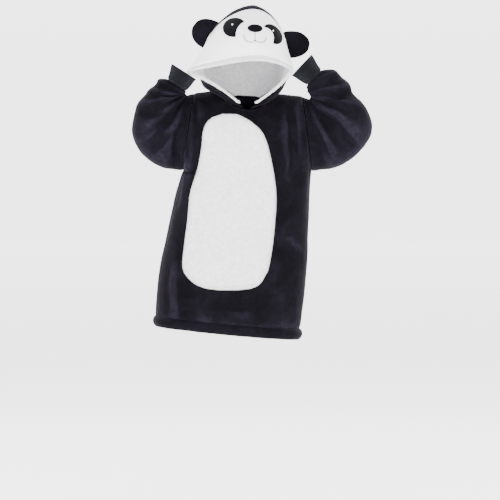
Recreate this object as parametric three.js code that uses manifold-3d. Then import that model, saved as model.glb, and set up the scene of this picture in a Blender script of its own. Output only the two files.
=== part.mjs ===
// A child's hooded blanket pullover with a panda's face on its hood, filled out as it is worn:
// both sleeves are raised and bent, and the hood's brim is drawn out to two corners.
// Millimetres, +Z up, the wearer's front towards -Y and the wearer's right towards -X.
// The origin is the middle of the wearer's neck, level with its base, where the shoulders hold the garment.
import * as THREE from "three";
import Module from "manifold-3d";

// Thicknesses and seams
const plushWall = 4;
const sherpaWall = 4;
const ribWall = 2.4;
const appliqueWall = 1.6;
const seamGap = 0.4;
const armholeGap = 0.6;
const restGap = 0.45;
const neckGap = 0.8;

// Mesh density, in cells
const bodyColumns = { front: 26, back: 18 };
const sideRows = 12;
const armholeRows = 10;
const yokeRows = 4;
const sleeveColumns = 2 * armholeRows;
const sleeveRows = 21;
const hoodSideColumns = 3;
const hoodTopColumns = 14;
const hoodRows = 15;

// Half steps across and along each surface, over which its outward direction is taken
const steps = {
  plainBody: [0.004, 0.004],
  body: [0.01, 0.01],
  hem: [0.004, 0.02],
  sleeve: [2, 0.008],
  cuff: [2, 0.02],
  hood: [0.01, 0.03],
};
const plainBodyEdge = 0.005;

// Tables name the sides as they are seen from the front, and pieces are named for the wearer's own side
const wearerSide = { left: "right", right: "left" };

// Body sections from the hem seam up to the underarm: height of the middle, side seams,
// how far the front and back stand out, how much the row drops for each millimetre towards +X,
// and how square the section is (2 is an ellipse)
const bodySections = [
  { z: -517, left: -216, right: 132, front: -117, back: 112, drop: 0.092, square: 2.3 },
  { z: -444, left: -211, right: 143, front: -120, back: 114, drop: 0.07, square: 2.3 },
  { z: -380, left: -203, right: 149, front: -119, back: 112, drop: 0.05, square: 2.35 },
  { z: -328, left: -191, right: 151, front: -117, back: 110, drop: 0.035, square: 2.4 },
  { z: -252, left: -176, right: 154, front: -114, back: 106, drop: 0.02, square: 2.55 },
  { z: -178, left: -157, right: 157, front: -109, back: 101, drop: 0.01, square: 2.85 },
  { z: -156, left: -149, right: 160, front: -107, back: 99, drop: 0.008, square: 3 },
];
const sideSeamY = 0;
const yokeSquareness = 2;
const yokeEase = 0.5;
const necklineLevel = 3;

// Middle of the front and of the back, from the underarm level (1) to the neckline (3)
const upperMiddle = [
  { level: 1, frontY: -107, frontZ: -156, backY: 99, backZ: -156 },
  { level: 1.5, frontY: -106, frontZ: -92, backY: 101, backZ: -84 },
  { level: 2, frontY: -99, frontZ: -42, backY: 90, backZ: -16 },
  { level: 2.5, frontY: -88, frontZ: -24, backY: 76, backZ: 6 },
  { level: 3, frontY: -76, frontZ: -8, backY: 60, backZ: 20 },
];
const middleX = 5;

// Each neck side, where the shoulder seam ends
const neckSide = {
  left: { x: -69, y: 0, z: 37 },
  right: { x: 77, y: 0, z: 29 },
};

// Sleeve sections from the armhole to the cuff seam. Each has a point on the inside of the bend,
// a point on the outside of the bend, and how far the cloth stands out to the front and back.
const sleeveSections = {
  left: [
    { innerX: -122, innerY: 5, innerZ: 31, outerX: -149, outerY: 0, outerZ: -156, depth: 72 },
    { innerX: -130, innerY: 0, innerZ: 29, outerX: -177, outerY: -4, outerZ: -156, depth: 73 },
    { innerX: -136, innerY: -9, innerZ: 27, outerX: -221, outerY: -14, outerZ: -139, depth: 72 },
    { innerX: -140, innerY: -21, innerZ: 26, outerX: -258, outerY: -24, outerZ: -103, depth: 69 },
    { innerX: -142, innerY: -34, innerZ: 26, outerX: -273, outerY: -34, outerZ: -59, depth: 64 },
    { innerX: -143, innerY: -48, innerZ: 27, outerX: -262, outerY: -46, outerZ: -8, depth: 58 },
    { innerX: -145, innerY: -62, innerZ: 26, outerX: -244, outerY: -58, outerZ: 24, depth: 51 },
    { innerX: -145, innerY: -74, innerZ: 27, outerX: -223, outerY: -70, outerZ: 43, depth: 45 },
    { innerX: -143, innerY: -83, innerZ: 31, outerX: -207, outerY: -81, outerZ: 62, depth: 39 },
    { innerX: -139, innerY: -90, innerZ: 37, outerX: -184, outerY: -90, outerZ: 66, depth: 26 },
  ],
  right: [
    { innerX: 137, innerY: 5, innerZ: 24, outerX: 160, outerY: 0, outerZ: -158, depth: 72 },
    { innerX: 143, innerY: 0, innerZ: 21, outerX: 189, outerY: -4, outerZ: -156, depth: 73 },
    { innerX: 149, innerY: -9, innerZ: 18, outerX: 233, outerY: -14, outerZ: -143, depth: 72 },
    { innerX: 153, innerY: -21, innerZ: 17, outerX: 279, outerY: -24, outerZ: -110, depth: 69 },
    { innerX: 155, innerY: -34, innerZ: 18, outerX: 308, outerY: -34, outerZ: -58, depth: 64 },
    { innerX: 155, innerY: -48, innerZ: 21, outerX: 292, outerY: -46, outerZ: -8, depth: 58 },
    { innerX: 152, innerY: -62, innerZ: 27, outerX: 262, outerY: -58, outerZ: 27, depth: 51 },
    { innerX: 148, innerY: -74, innerZ: 35, outerX: 244, outerY: -70, outerZ: 58, depth: 45 },
    { innerX: 147, innerY: -83, innerZ: 43, outerX: 217, outerY: -81, outerZ: 84, depth: 39 },
    { innerX: 147, innerY: -90, innerZ: 51, outerX: 181, outerY: -90, outerZ: 87, depth: 26 },
  ],
};
const sleeveSquareness = 2.15;

// Cuffs: the open end of each, and the ribs knitted along it
const cuffEnd = {
  left: { innerX: -116, innerY: -103, innerZ: 63, outerX: -174, outerY: -103, outerZ: 100, depth: 29 },
  right: { innerX: 112, innerY: -103, innerZ: 72, outerX: 159, outerY: -103, outerZ: 122, depth: 29 },
};
const cuffRibs = 48;
const ribHeight = 0.7;
const cuffRows = 1;

// Hem band below the body: its height, how far its roll stands out, and its rows of cells
const hemHeight = 27;
const hemRoll = 7;
const hemRows = 5;
const hemRoundness = 0.8;
const hemFilling = 0.4;

// Hood arches from the face opening to the nape. Each stands on the neckline at footAngle degrees
// from the front, and passes a cheek, a temple and a crown point on each side, and its top.
const hoodArches = [
  {
    footAngle: 9,
    leftCheek: [-72, -93, 44], leftTemple: [-138, -112, 88], leftCrown: [-72, -132, 109],
    top: [17, -144, 123],
    rightCrown: [72, -135, 117], rightTemple: [116, -112, 91], rightCheek: [82, -90, 41],
  },
  {
    footAngle: 36,
    leftCheek: [-99, -58, 50], leftTemple: [-110, -72, 117], leftCrown: [-76, -104, 158],
    top: [20, -128, 178],
    rightCrown: [76, -104, 166], rightTemple: [107, -74, 122], rightCheek: [89, -60, 36],
  },
  {
    footAngle: 72,
    leftCheek: [-104, -18, 48], leftTemple: [-96, -36, 143], leftCrown: [-58, -46, 201], top: [17, -52, 233],
    rightCrown: [66, -46, 212], rightTemple: [102, -36, 136], rightCheek: [89, -20, 40],
  },
  {
    footAngle: 105,
    leftCheek: [-93, 20, 62], leftTemple: [-92, 20, 146], leftCrown: [-59, 10, 204], top: [15, 6, 241],
    rightCrown: [68, 10, 209], rightTemple: [99, 20, 139], rightCheek: [88, 20, 58],
  },
  {
    footAngle: 128,
    leftCheek: [-76, 52, 66], leftTemple: [-82, 64, 130], leftCrown: [-52, 74, 178], top: [12, 80, 201],
    rightCrown: [60, 74, 175], rightTemple: [88, 64, 123], rightCheek: [82, 52, 62],
  },
  {
    footAngle: 143,
    leftCheek: [-58, 64, 60], leftTemple: [-62, 88, 92], leftCrown: [-34, 100, 106], top: [9, 106, 113],
    rightCrown: [44, 100, 104], rightTemple: [70, 88, 87], rightCheek: [66, 64, 56],
  },
];
const napeAngles = [152, 158, 164, 172, 180, 188, 196, 202, 208];
const crownSeam = 2;
const columnsUnderTemple = 1;
const liningLip = 0.18;
const liningEnd = 0.03;

// Largest folds of the body, by their middle line on the front or back, from top to bottom.
// A positive lift is a ridge and a negative one is a trough.
const bodyFolds = [
  { face: "front", topX: -116, topZ: 0, footX: -146, footZ: -330, spread: 17, lift: 15 },
  { face: "front", topX: -98, topZ: -20, footX: -122, footZ: -260, spread: 12, lift: -9 },
  { face: "front", topX: -140, topZ: -400, footX: -142, footZ: -540, spread: 15, lift: -14 },
  { face: "front", topX: 95, topZ: 5, footX: 106, footZ: -210, spread: 14, lift: 13 },
  { face: "front", topX: 118, topZ: -10, footX: 124, footZ: -190, spread: 11, lift: -10 },
  { face: "front", topX: 137, topZ: -30, footX: 143, footZ: -300, spread: 13, lift: 12 },
  { face: "front", topX: 96, topZ: -300, footX: 122, footZ: -470, spread: 17, lift: -8 },
  { face: "back", topX: -110, topZ: 0, footX: -136, footZ: -300, spread: 18, lift: 10 },
  { face: "back", topX: -70, topZ: -60, footX: -100, footZ: -420, spread: 20, lift: -8 },
  { face: "back", topX: -10, topZ: -40, footX: -34, footZ: -500, spread: 24, lift: 7 },
  { face: "back", topX: 62, topZ: -50, footX: 40, footZ: -400, spread: 20, lift: -8 },
  { face: "back", topX: 112, topZ: 0, footX: 118, footZ: -330, spread: 18, lift: 10 },
];

const bodyFoldRoundness = 0.7;
const necklineFade = 0.5;

// Folds stacked along each sleeve: where along it (0 armhole, 1 cuff seam), where round it
// (0 inside of the bend, 90 front, 180 outside), how far they reach, and how deep they are
const sleeveFolds = [
  { at: 0.09, round: 130, reach: 70, spread: 0.035, lift: -9 },
  { at: 0.19, round: 110, reach: 70, spread: 0.04, lift: 9 },
  { at: 0.29, round: 80, reach: 60, spread: 0.035, lift: -10 },
  { at: 0.4, round: 80, reach: 65, spread: 0.045, lift: 8 },
  { at: 0.52, round: 70, reach: 75, spread: 0.035, lift: -11 },
  { at: 0.6, round: 110, reach: 110, spread: 0.035, lift: 8 },
  { at: 0.68, round: 100, reach: 110, spread: 0.034, lift: -9 },
  { at: 0.755, round: 120, reach: 140, spread: 0.042, lift: 7 },
  { at: 0.835, round: 110, reach: 130, spread: 0.035, lift: -8 },
  { at: 0.915, round: 130, reach: 175, spread: 0.045, lift: 6.5 },
  { at: 0.25, round: 265, reach: 70, spread: 0.05, lift: -10 },
  { at: 0.5, round: 255, reach: 80, spread: 0.05, lift: -9 },
];
const sleeveFade = { armhole: 0.06, cuff: 0.04 };

// Belly patch as it is seen from the front: height, and its left and right edges
const bellyOutline = [
  { z: -434, left: -76, right: 0 },
  { z: -425, left: -112, right: 36 },
  { z: -404, left: -139, right: 48 },
  { z: -380, left: -149, right: 56 },
  { z: -325, left: -142, right: 65 },
  { z: -265, left: -135, right: 71 },
  { z: -205, left: -129, right: 73 },
  { z: -150, left: -111, right: 66 },
  { z: -100, left: -101, right: 55 },
  { z: -64, left: -99, right: 42 },
  { z: -42, left: -92, right: 18 },
  { z: -29, left: -77, right: -3 },
  { z: -22, left: -56, right: -20 },
];
const bellySteps = 24;

// Panda face on the hood, as it is seen from the front: middle, half width, half height and turn of each
// oval, and the middle and radius of the circle that hollows its side
const faceMarks = {
  eye_patch_right: {
    x: -25, z: 187, halfWidth: 28, halfHeight: 23, turn: 13, hollowX: 14, hollowZ: 168.5, hollowRadius: 35.5,
  },
  eye_patch_left: {
    x: 66, z: 171, halfWidth: 18, halfHeight: 28, turn: 42, hollowX: 43, hollowZ: 162, hollowRadius: 25.5,
  },
  nose: {
    x: 24, z: 184.5, halfWidth: 18, halfHeight: 9.3, turn: -3, hollowX: 24, hollowZ: 184.5, hollowRadius: 0,
  },
};
const markSides = 32;
const prismDepth = 400;

// Ears: where each grows from the crown seam, how it points and how large it is
const ears = {
  ear_right: { x: -72, y: -38, z: 165, turn: 66, lean: 4, halfWidth: 35, reach: 58, halfThickness: 10 },
  ear_left: { x: 92, y: -38, z: 146, turn: -88, lean: 4, halfWidth: 32, reach: 63, halfThickness: 10 },
};
const earRings = 7;
const earSides = 18;
const earRoot = 30;
const earTip = 0.97;
const earFlare = 0.35;
const earEdge = 0.4;
const earFilling = { root: 0.55, tip: 1.15 };

// Colours
const looks = {
  plush: { color: 0x17151c, roughness: 0.85, metalness: 0 },
  ribKnit: { color: 0x141519, roughness: 0.9, metalness: 0 },
  whitePlush: { color: 0xf1f0f2, roughness: 0.9, metalness: 0 },
  sherpa: { color: 0xf6f4f4, roughness: 0.95, metalness: 0 },
  mark: { color: 0x0f0f12, roughness: 0.8, metalness: 0 },
};

// Value of a column of a table at a place between its rows, on a smooth curve through them
function smoothColumn(rows, key, place) {
  const last = rows.length - 1;
  const row = Math.min(last - 1, Math.max(0, Math.floor(place)));
  const share = place - row;
  const value = (index) => rows[Math.min(last, Math.max(0, index))][key];
  const before = row > 0 ? value(row - 1) : 2 * value(0) - value(1);
  const after = row + 2 <= last ? value(row + 2) : 2 * value(last) - value(last - 1);
  const [from, to] = [value(row), value(row + 1)];
  const startSlope = (to - before) / 2;
  const endSlope = (after - from) / 2;
  const square = share * share;
  const cube = square * share;
  return (
    (2 * cube - 3 * square + 1) * from +
    (cube - 2 * square + share) * startSlope +
    (3 * square - 2 * cube) * to +
    (cube - square) * endSlope
  );
}

// Place between the rows of a table whose key column grows, for a value of that column
function placeOf(rows, key, value) {
  let row = 0;
  while (row < rows.length - 2 && rows[row + 1][key] < value) row += 1;
  return row + (value - rows[row][key]) / (rows[row + 1][key] - rows[row][key]);
}

function roundedPower(value, squareness) {
  return Math.sign(value) * Math.abs(value) ** (2 / squareness);
}

// Closed section of a sleeve or cuff: 0 degrees is its inner point, 90 its front, 180 its outer point
function sectionPoint(section, degrees) {
  const inner = new THREE.Vector3(section.innerX, section.innerY, section.innerZ);
  const outer = new THREE.Vector3(section.outerX, section.outerY, section.outerZ);
  const middle = inner.clone().add(outer).multiplyScalar(0.5);
  const radians = THREE.MathUtils.degToRad(degrees);
  const along = roundedPower(Math.cos(radians), sleeveSquareness);
  const forward = roundedPower(Math.sin(radians), sleeveSquareness);
  return middle
    .clone()
    .addScaledVector(inner.sub(middle), along)
    .add(new THREE.Vector3(0, -section.depth * forward, 0));
}

// Every column of a table at a place between its rows
function sectionAt(rows, place) {
  return Object.fromEntries(Object.keys(rows[0]).map((key) => [key, smoothColumn(rows, key, place)]));
}

function bodySection(place) {
  return sectionAt(bodySections, place);
}

function sleeveSection(side, along) {
  const rows = sleeveSections[side];
  return sectionAt(rows, along * (rows.length - 1));
}

function armholePoint(side, degrees) {
  return sectionPoint(sleeveSections[side][0], degrees);
}

// End of a body row on one side: the side seam (level 0 to 1), the armhole (1 to 2) or the shoulder (2 to 3)
function rowEnd(side, face, level) {
  if (level <= 1) {
    const place = level * (bodySections.length - 1);
    const section = bodySection(place);
    const fall = section.drop * (section[side] - (section.left + section.right) / 2);
    return new THREE.Vector3(section[side], sideSeamY, section.z - fall);
  }
  if (level <= 2) return armholePoint(side, (face === "front" ? 1 : -1) * 180 * (2 - level));
  const tip = armholePoint(side, 0);
  const neck = neckSide[side];
  return tip.lerp(new THREE.Vector3(neck.x, neck.y, neck.z), level - 2);
}

// Middle of a body row on the front or back
function rowMiddle(face, level) {
  if (level <= 1) {
    const place = level * (bodySections.length - 1);
    const section = bodySection(place);
    return new THREE.Vector3((section.left + section.right) / 2, section[face], section.z);
  }
  const place = placeOf(upperMiddle, "level", level);
  return new THREE.Vector3(
    middleX,
    smoothColumn(upperMiddle, `${face}Y`, place),
    smoothColumn(upperMiddle, `${face}Z`, place),
  );
}

// Body surface without folds: share runs from the left end (0) to the right end (1) of the row at a level
function plainBody(face, share, level) {
  const left = rowEnd("left", face, level);
  const right = rowEnd("right", face, level);
  const middle = rowMiddle(face, level);
  const centre = left.clone().add(right).multiplyScalar(0.5);
  const radians = Math.PI * share;
  const squareness =
    level <= 1
      ? bodySection(level * (bodySections.length - 1)).square
      : THREE.MathUtils.lerp(bodySections.at(-1).square, yokeSquareness, Math.min(1, (level - 1) / yokeEase));
  const across = roundedPower(Math.cos(radians), squareness);
  const out = roundedPower(Math.sin(radians), squareness);
  const half = right.clone().sub(left).multiplyScalar(0.5);
  const rise = middle.clone().sub(centre);
  return new THREE.Vector3(
    centre.x - half.x * across + rise.x * out * out,
    centre.y - half.y * across + rise.y * out,
    centre.z - half.z * across + rise.z * out * out,
  );
}

function normalOf(surface, u, v, stepU, stepV) {
  const du = surface(u + stepU, v).sub(surface(u - stepU, v));
  const dv = surface(u, v + stepV).sub(surface(u, v - stepV));
  return du.cross(dv).normalize();
}

function bell(distance, spread) {
  return Math.exp(-((distance / spread) ** 2));
}

// How far the folds of one face lift the cloth at a point
function bodyLift(face, point) {
  let lift = 0;
  for (const fold of bodyFolds) {
    if (fold.face !== face) continue;
    const share = (fold.topZ - point.z) / (fold.topZ - fold.footZ);
    if (share <= 0 || share >= 1) continue;
    const middle = THREE.MathUtils.lerp(fold.topX, fold.footX, share);
    lift += fold.lift * Math.sin(Math.PI * share) ** bodyFoldRoundness * bell(point.x - middle, fold.spread);
  }
  return lift;
}

// Body surface with its folds, and its outward direction
function bodySurface(face, share, level) {
  const plain = (u, v) => plainBody(face, u, v);
  const inner = Math.min(1 - plainBodyEdge, Math.max(plainBodyEdge, share));
  const normal = normalOf(plain, inner, level, ...steps.plainBody);
  if (face === "back") normal.negate();
  const point = plainBody(face, share, level);
  const underNeckline = Math.max(0, Math.min(1, (necklineLevel - level) / necklineFade));
  const fade = Math.max(0, Math.sin(Math.PI * share)) * underNeckline;
  point.addScaledVector(normal, bodyLift(face, point) * fade);
  return point;
}

function angleBetween(a, b) {
  return Math.abs(((a - b + 540) % 360) - 180);
}

// Sleeve surface with its folds: along 0 is the armhole and 1 is the cuff seam
function sleeveSurface(side, degrees, along) {
  const section = sleeveSection(side, along);
  const point = sectionPoint(section, degrees);
  const middle = sectionPoint(section, 0).add(sectionPoint(section, 180)).multiplyScalar(0.5);
  const outward = point.clone().sub(middle).normalize();
  let lift = 0;
  for (const fold of sleeveFolds) {
    const turn = angleBetween((degrees + 360) % 360, fold.round) / fold.reach;
    if (turn < 1) lift += fold.lift * Math.cos((Math.PI / 2) * turn) * bell(along - fold.at, fold.spread);
  }
  const fade = Math.max(0, Math.min(1, along / sleeveFade.armhole, (1 - along) / sleeveFade.cuff));
  return point.addScaledVector(outward, lift * fade);
}

// Point of the neckline, in degrees from the front towards one side
function necklinePoint(side, degrees) {
  const face = degrees <= 90 ? "front" : "back";
  const share = Math.abs(90 - degrees) / 180;
  const columns = bodyColumns[face];
  const place = (side === "left" ? share : 1 - share) * columns;
  const column = Math.min(columns - 1, Math.floor(place));
  const from = plainBody(face, column / columns, necklineLevel);
  const to = plainBody(face, (column + 1) / columns, necklineLevel);
  return from.lerp(to, place - column).add(new THREE.Vector3(0, 0, neckGap));
}

// Control points of each hood arch, from its left foot over its top to its right foot
function archPoints(arch) {
  return [
    necklinePoint("left", arch.footAngle),
    new THREE.Vector3(...arch.leftCheek),
    new THREE.Vector3(...arch.leftTemple),
    new THREE.Vector3(...arch.leftCrown),
    new THREE.Vector3(...arch.top),
    new THREE.Vector3(...arch.rightCrown),
    new THREE.Vector3(...arch.rightTemple),
    new THREE.Vector3(...arch.rightCheek),
    necklinePoint("right", arch.footAngle),
  ];
}

function napePoints() {
  return napeAngles.map((degrees) => {
    const side = degrees <= 180 ? "left" : "right";
    return necklinePoint(side, degrees <= 180 ? degrees : 360 - degrees);
  });
}

const archRows = [...hoodArches.map(archPoints), napePoints()];

// Hood surface: share runs over an arch from its left foot (0) to its right foot (1),
// and arch runs from the opening (0) to the nape
function hoodSurface(share, arch) {
  const controls = archRows[0].map((_, index) => {
    const rows = archRows.map((row) => row[index]);
    return new THREE.Vector3(
      smoothColumn(rows, "x", arch),
      smoothColumn(rows, "y", arch),
      smoothColumn(rows, "z", arch),
    );
  });
  return new THREE.CatmullRomCurve3(controls).getPoint(Math.min(1, Math.max(0, share)));
}

// Grid of points and outward directions over a surface
function gridOf(surface, us, vs, flip, [stepU, stepV]) {
  return vs.map((v) =>
    us.map((u) => {
      const normal = normalOf(surface, u, v, stepU, stepV);
      return { point: surface(u, v), normal: flip ? normal.negate() : normal };
    }),
  );
}

// Even places from one value to another, ends included
function spaced(from, to, cells) {
  return Array.from({ length: cells + 1 }, (_, index) => from + ((to - from) * index) / cells);
}

// Closed wall between two offsets from a grid of points. Cells that keep(row, column) refuses are left out,
// free edges are drawn in by half the seam gap, and ringed grids join their last column to the first.
function wallOf(grid, { outside, inside, ringed = false, keep = () => true, drawn = seamGap / 2 }) {
  const rows = grid.length;
  const columns = grid[0].length;
  const cellColumns = ringed ? columns : columns - 1;
  const kept = (row, column) => {
    if (row < 0 || row >= rows - 1) return false;
    if (!ringed && (column < 0 || column >= cellColumns)) return false;
    return keep(row, (column + cellColumns) % cellColumns);
  };
  const cellsRound = (row, column) => [
    [row - 1, column - 1],
    [row - 1, column],
    [row, column - 1],
    [row, column],
  ];
  const at = (row, column) => grid[row][(column + columns) % columns];
  const middleOf = (row, column) =>
    [at(row, column), at(row + 1, column), at(row, column + 1), at(row + 1, column + 1)]
      .reduce((sum, item) => sum.add(item.point), new THREE.Vector3())
      .multiplyScalar(0.25);
  const positions = [];
  const numbers = new Map();
  const vertex = (row, column, layer) => {
    const wrapped = (column + columns) % columns;
    const key = `${row} ${wrapped} ${layer}`;
    if (numbers.has(key)) return numbers.get(key);
    const { point, normal } = grid[row][wrapped];
    const round = cellsRound(row, wrapped).filter(([r, c]) => kept(r, c));
    const place = point.clone();
    if (round.length < 4 && drawn > 0) {
      const inward = round
        .reduce((sum, [r, c]) => sum.add(middleOf(r, c)), new THREE.Vector3())
        .multiplyScalar(1 / round.length)
        .sub(point);
      inward.addScaledVector(normal, -inward.dot(normal)).normalize();
      place.addScaledVector(inward, drawn);
    }
    const offset = layer === 0 ? outside(row, wrapped) : inside(row, wrapped);
    place.addScaledVector(normal, offset);
    numbers.set(key, positions.length / 3);
    positions.push(place.x, place.y, place.z);
    return numbers.get(key);
  };
  const faces = [];
  const quad = (a, b, c, d) => faces.push(a, b, c, a, c, d);
  for (let row = 0; row < rows - 1; row += 1) {
    for (let column = 0; column < cellColumns; column += 1) {
      if (!kept(row, column)) continue;
      const corners = [[row, column], [row, column + 1], [row + 1, column + 1], [row + 1, column]];
      const [outer, inner] = [0, 1].map((layer) => corners.map(([r, c]) => vertex(r, c, layer)));
      quad(...outer);
      quad(inner[0], inner[3], inner[2], inner[1]);
      const neighbours = [[row - 1, column], [row, column + 1], [row + 1, column], [row, column - 1]];
      neighbours.forEach(([r, c], side) => {
        if (kept(r, c)) return;
        const next = (side + 1) % 4;
        if (side < 2) quad(outer[next], outer[side], inner[side], inner[next]);
        else quad(outer[side], inner[side], inner[next], outer[next]);
      });
    }
  }
  return solidGeometry(positions, faces);
}

// Geometry of a closed solid, turned right side out
function solidGeometry(positions, faces) {
  let volume = 0;
  const corner = (index) => new THREE.Vector3().fromArray(positions, 3 * index);
  for (let face = 0; face < faces.length; face += 3) {
    volume += corner(faces[face]).dot(corner(faces[face + 1]).cross(corner(faces[face + 2])));
  }
  const turned = volume < 0 ? faces.slice().reverse() : faces;
  const geometry = new THREE.BufferGeometry();
  geometry.setAttribute("position", new THREE.Float32BufferAttribute(positions, 3));
  geometry.setIndex(turned);
  return geometry;
}

// Turns the outward directions at both ends of a ringed grid into the plane of its end ring
function squareEnds(grid) {
  const count = grid[0].length;
  const quarter = Math.round(count / 4);
  for (const ring of [grid[0], grid[grid.length - 1]]) {
    const across = ring[0].point.clone().sub(ring[2 * quarter].point);
    const forward = ring[quarter].point.clone().sub(ring[count - quarter].point);
    const axis = across.cross(forward).normalize();
    for (const item of ring) item.normal.addScaledVector(axis, -item.normal.dot(axis)).normalize();
  }
  return grid;
}

const kernel = await Module();
kernel.setup();

// Solid of a geometry, for joining and cutting
function solidOf(geometry) {
  const mesh = new kernel.Mesh({
    numProp: 3,
    vertProperties: geometry.getAttribute("position").array,
    triVerts: Uint32Array.from(geometry.index.array),
  });
  mesh.merge();
  return new kernel.Manifold(mesh);
}

function geometryOf(solid) {
  const mesh = solid.getMesh();
  const geometry = new THREE.BufferGeometry();
  geometry.setAttribute("position", new THREE.BufferAttribute(Float32Array.from(mesh.vertProperties), 3));
  geometry.setIndex(Array.from(mesh.triVerts));
  return geometry;
}

// Straight prism from y = 0 to the front, through an outline of [x, z] points seen from the front
function prismOf(outline) {
  return new kernel.CrossSection([outline]).extrude(prismDepth).rotate([90, 0, 0]);
}

const garment = new THREE.Group();

function addPiece(name, look, geometry) {
  const mesh = new THREE.Mesh(geometry, new THREE.MeshStandardMaterial(looks[look]));
  mesh.name = name;
  garment.add(mesh);
  return mesh;
}

// Points of the front or back panel, from the hem seam to the neckline
function bodyGrid(face) {
  const levels = [
    ...spaced(0, 1, sideRows).slice(0, -1),
    ...spaced(1, 2, armholeRows).slice(0, -1),
    ...spaced(2, necklineLevel, yokeRows),
  ];
  const surface = (u, v) => bodySurface(face, u, v);
  return gridOf(surface, spaced(0, 1, bodyColumns[face]), levels, face === "back", steps.body);
}

function makeBodyPanel(face) {
  addPiece(face, "plush", wallOf(bodyGrid(face), { outside: () => 0, inside: () => -plushWall }));
}

// Rolled band sewn under both panels
function makeHemBand() {
  const surface = (turn, down) => {
    const share = ((turn % 1) + 1) % 1;
    const front = share < 0.5;
    const seam = bodySurface(front ? "front" : "back", front ? 2 * share : 2 - 2 * share, 0);
    return seam.add(new THREE.Vector3(0, 0, -seamGap - hemHeight * down));
  };
  const turns = [
    ...spaced(0, 0.5, bodyColumns.front).slice(0, -1),
    ...spaced(0.5, 1, bodyColumns.back).slice(0, -1),
  ];
  const grid = gridOf(surface, turns, spaced(0, 1, hemRows), true, steps.hem);
  const roll = (row) => hemRoll * Math.sin((Math.PI * row) / hemRows) ** hemRoundness;
  const outside = (row) => roll(row);
  const inside = (row) => -plushWall - hemFilling * roll(row);
  addPiece("hem_band", "plush", wallOf(grid, { outside, inside, ringed: true, drawn: 0 }));
}

function makeSleeve(side) {
  const surface = (degrees, along) => sleeveSurface(side, degrees, along);
  const angles = spaced(0, 360, sleeveColumns).slice(0, -1);
  const grid = squareEnds(gridOf(surface, angles, spaced(0, 1, sleeveRows), side === "left", steps.sleeve));
  const shape = { outside: () => 0, inside: () => -plushWall, ringed: true, drawn: armholeGap };
  addPiece(`sleeve_${wearerSide[side]}`, "plush", wallOf(grid, shape));
}

// Ribbed cuff from the sleeve's end to its open end
function makeCuff(side) {
  const ends = [sleeveSection(side, 1), cuffEnd[side]];
  const surface = (degrees, along) =>
    sectionPoint(ends[0], degrees).lerp(sectionPoint(ends[1], degrees), along);
  const angles = spaced(0, 360, 2 * cuffRibs).slice(0, -1);
  const grid = squareEnds(gridOf(surface, angles, spaced(0, 1, cuffRows), side === "left", steps.cuff));
  const outside = (row, column) => (column % 2 === 0 ? 0 : -ribHeight);
  const shape = { outside, inside: () => -ribHeight - ribWall, ringed: true, drawn: seamGap / 2 };
  addPiece(`cuff_${wearerSide[side]}`, "ribKnit", wallOf(grid, shape));
}

// Places of the hood's columns: fewer up to each temple than over its top
const controlCount = archRows[0].length - 1;
const templePlace = 2 / controlCount;
const hoodShares = [
  ...spaced(0, templePlace, 2 * hoodSideColumns).slice(0, -1),
  ...spaced(templePlace, 1 - templePlace, hoodTopColumns).slice(0, -1),
  ...spaced(1 - templePlace, 1, 2 * hoodSideColumns),
];
const hoodArchPlaces = spaced(0, archRows.length - 1, hoodRows);

// Points of the hood. Along its foot they face level or down, so that no wall dips into the shoulders.
const hoodGrid = gridOf(hoodSurface, hoodShares, hoodArchPlaces, false, steps.hood);
for (const item of [...hoodGrid.at(-1), ...hoodGrid.flatMap((row) => [row[0], row.at(-1)])]) {
  item.normal.setZ(Math.min(0, item.normal.z)).normalize();
}
const crownRow = hoodArchPlaces.findIndex((place) => place > crownSeam - 0.5 / hoodRows);

// The white face panel and the black back share one grid, parted along the crown seam and under the temples
function inFacePanel(row, column) {
  const first = 2 * hoodSideColumns - columnsUnderTemple;
  return row < crownRow && column >= first && column < hoodShares.length - 1 - first;
}

function makeHoodOuter() {
  const walls = { outside: () => 0, inside: () => -plushWall };
  addPiece("hood_face", "whitePlush", wallOf(hoodGrid, { ...walls, keep: inFacePanel }));
  const inBack = (row, column) => !inFacePanel(row, column);
  addPiece("hood_back", "plush", wallOf(hoodGrid, { ...walls, keep: inBack }));
}

// Sherpa lining inside the hood. Its front edge stands a little past the brim.
function makeHoodLining() {
  const shares = [liningEnd, ...hoodShares.slice(1, -1), 1 - liningEnd];
  const arches = [-liningLip, ...hoodArchPlaces.slice(0, -1), hoodArchPlaces.at(-1) - 2 * liningEnd];
  const grid = gridOf(hoodSurface, shares, arches, false, steps.hood);
  const under = -plushWall - 2 * restGap;
  const shape = { outside: (row) => (row === 0 ? 0 : under), inside: () => under - sherpaWall, drawn: 0 };
  addPiece("hood_lining", "sherpa", wallOf(grid, shape));
}

// Layer lying on a panel, between two heights over its points
function layerOn(grid, from, to) {
  return solidOf(wallOf(grid, { outside: () => to, inside: () => from, drawn: 0 }));
}

// Oval sherpa patch on the front panel
function makeBellyPatch() {
  const rows = spaced(0, bellyOutline.length - 1, bellySteps).map((place) => sectionAt(bellyOutline, place));
  const edge = (key) => rows.map((row) => [row[key], row.z]);
  const outline = [...edge("right"), ...edge("left").reverse()];
  const layer = layerOn(bodyGrid("front"), restGap, restGap + sherpaWall);
  addPiece("belly_patch", "sherpa", geometryOf(layer.intersect(prismOf(outline))));
}

function ovalOutline(x, z, halfWidth, halfHeight, turn) {
  const radians = THREE.MathUtils.degToRad(turn);
  return spaced(0, 2 * Math.PI, markSides).slice(0, -1).map((angle) => {
    const across = halfWidth * Math.cos(angle);
    const up = halfHeight * Math.sin(angle);
    return [
      x + across * Math.cos(radians) - up * Math.sin(radians),
      z + across * Math.sin(radians) + up * Math.cos(radians),
    ];
  });
}

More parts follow.
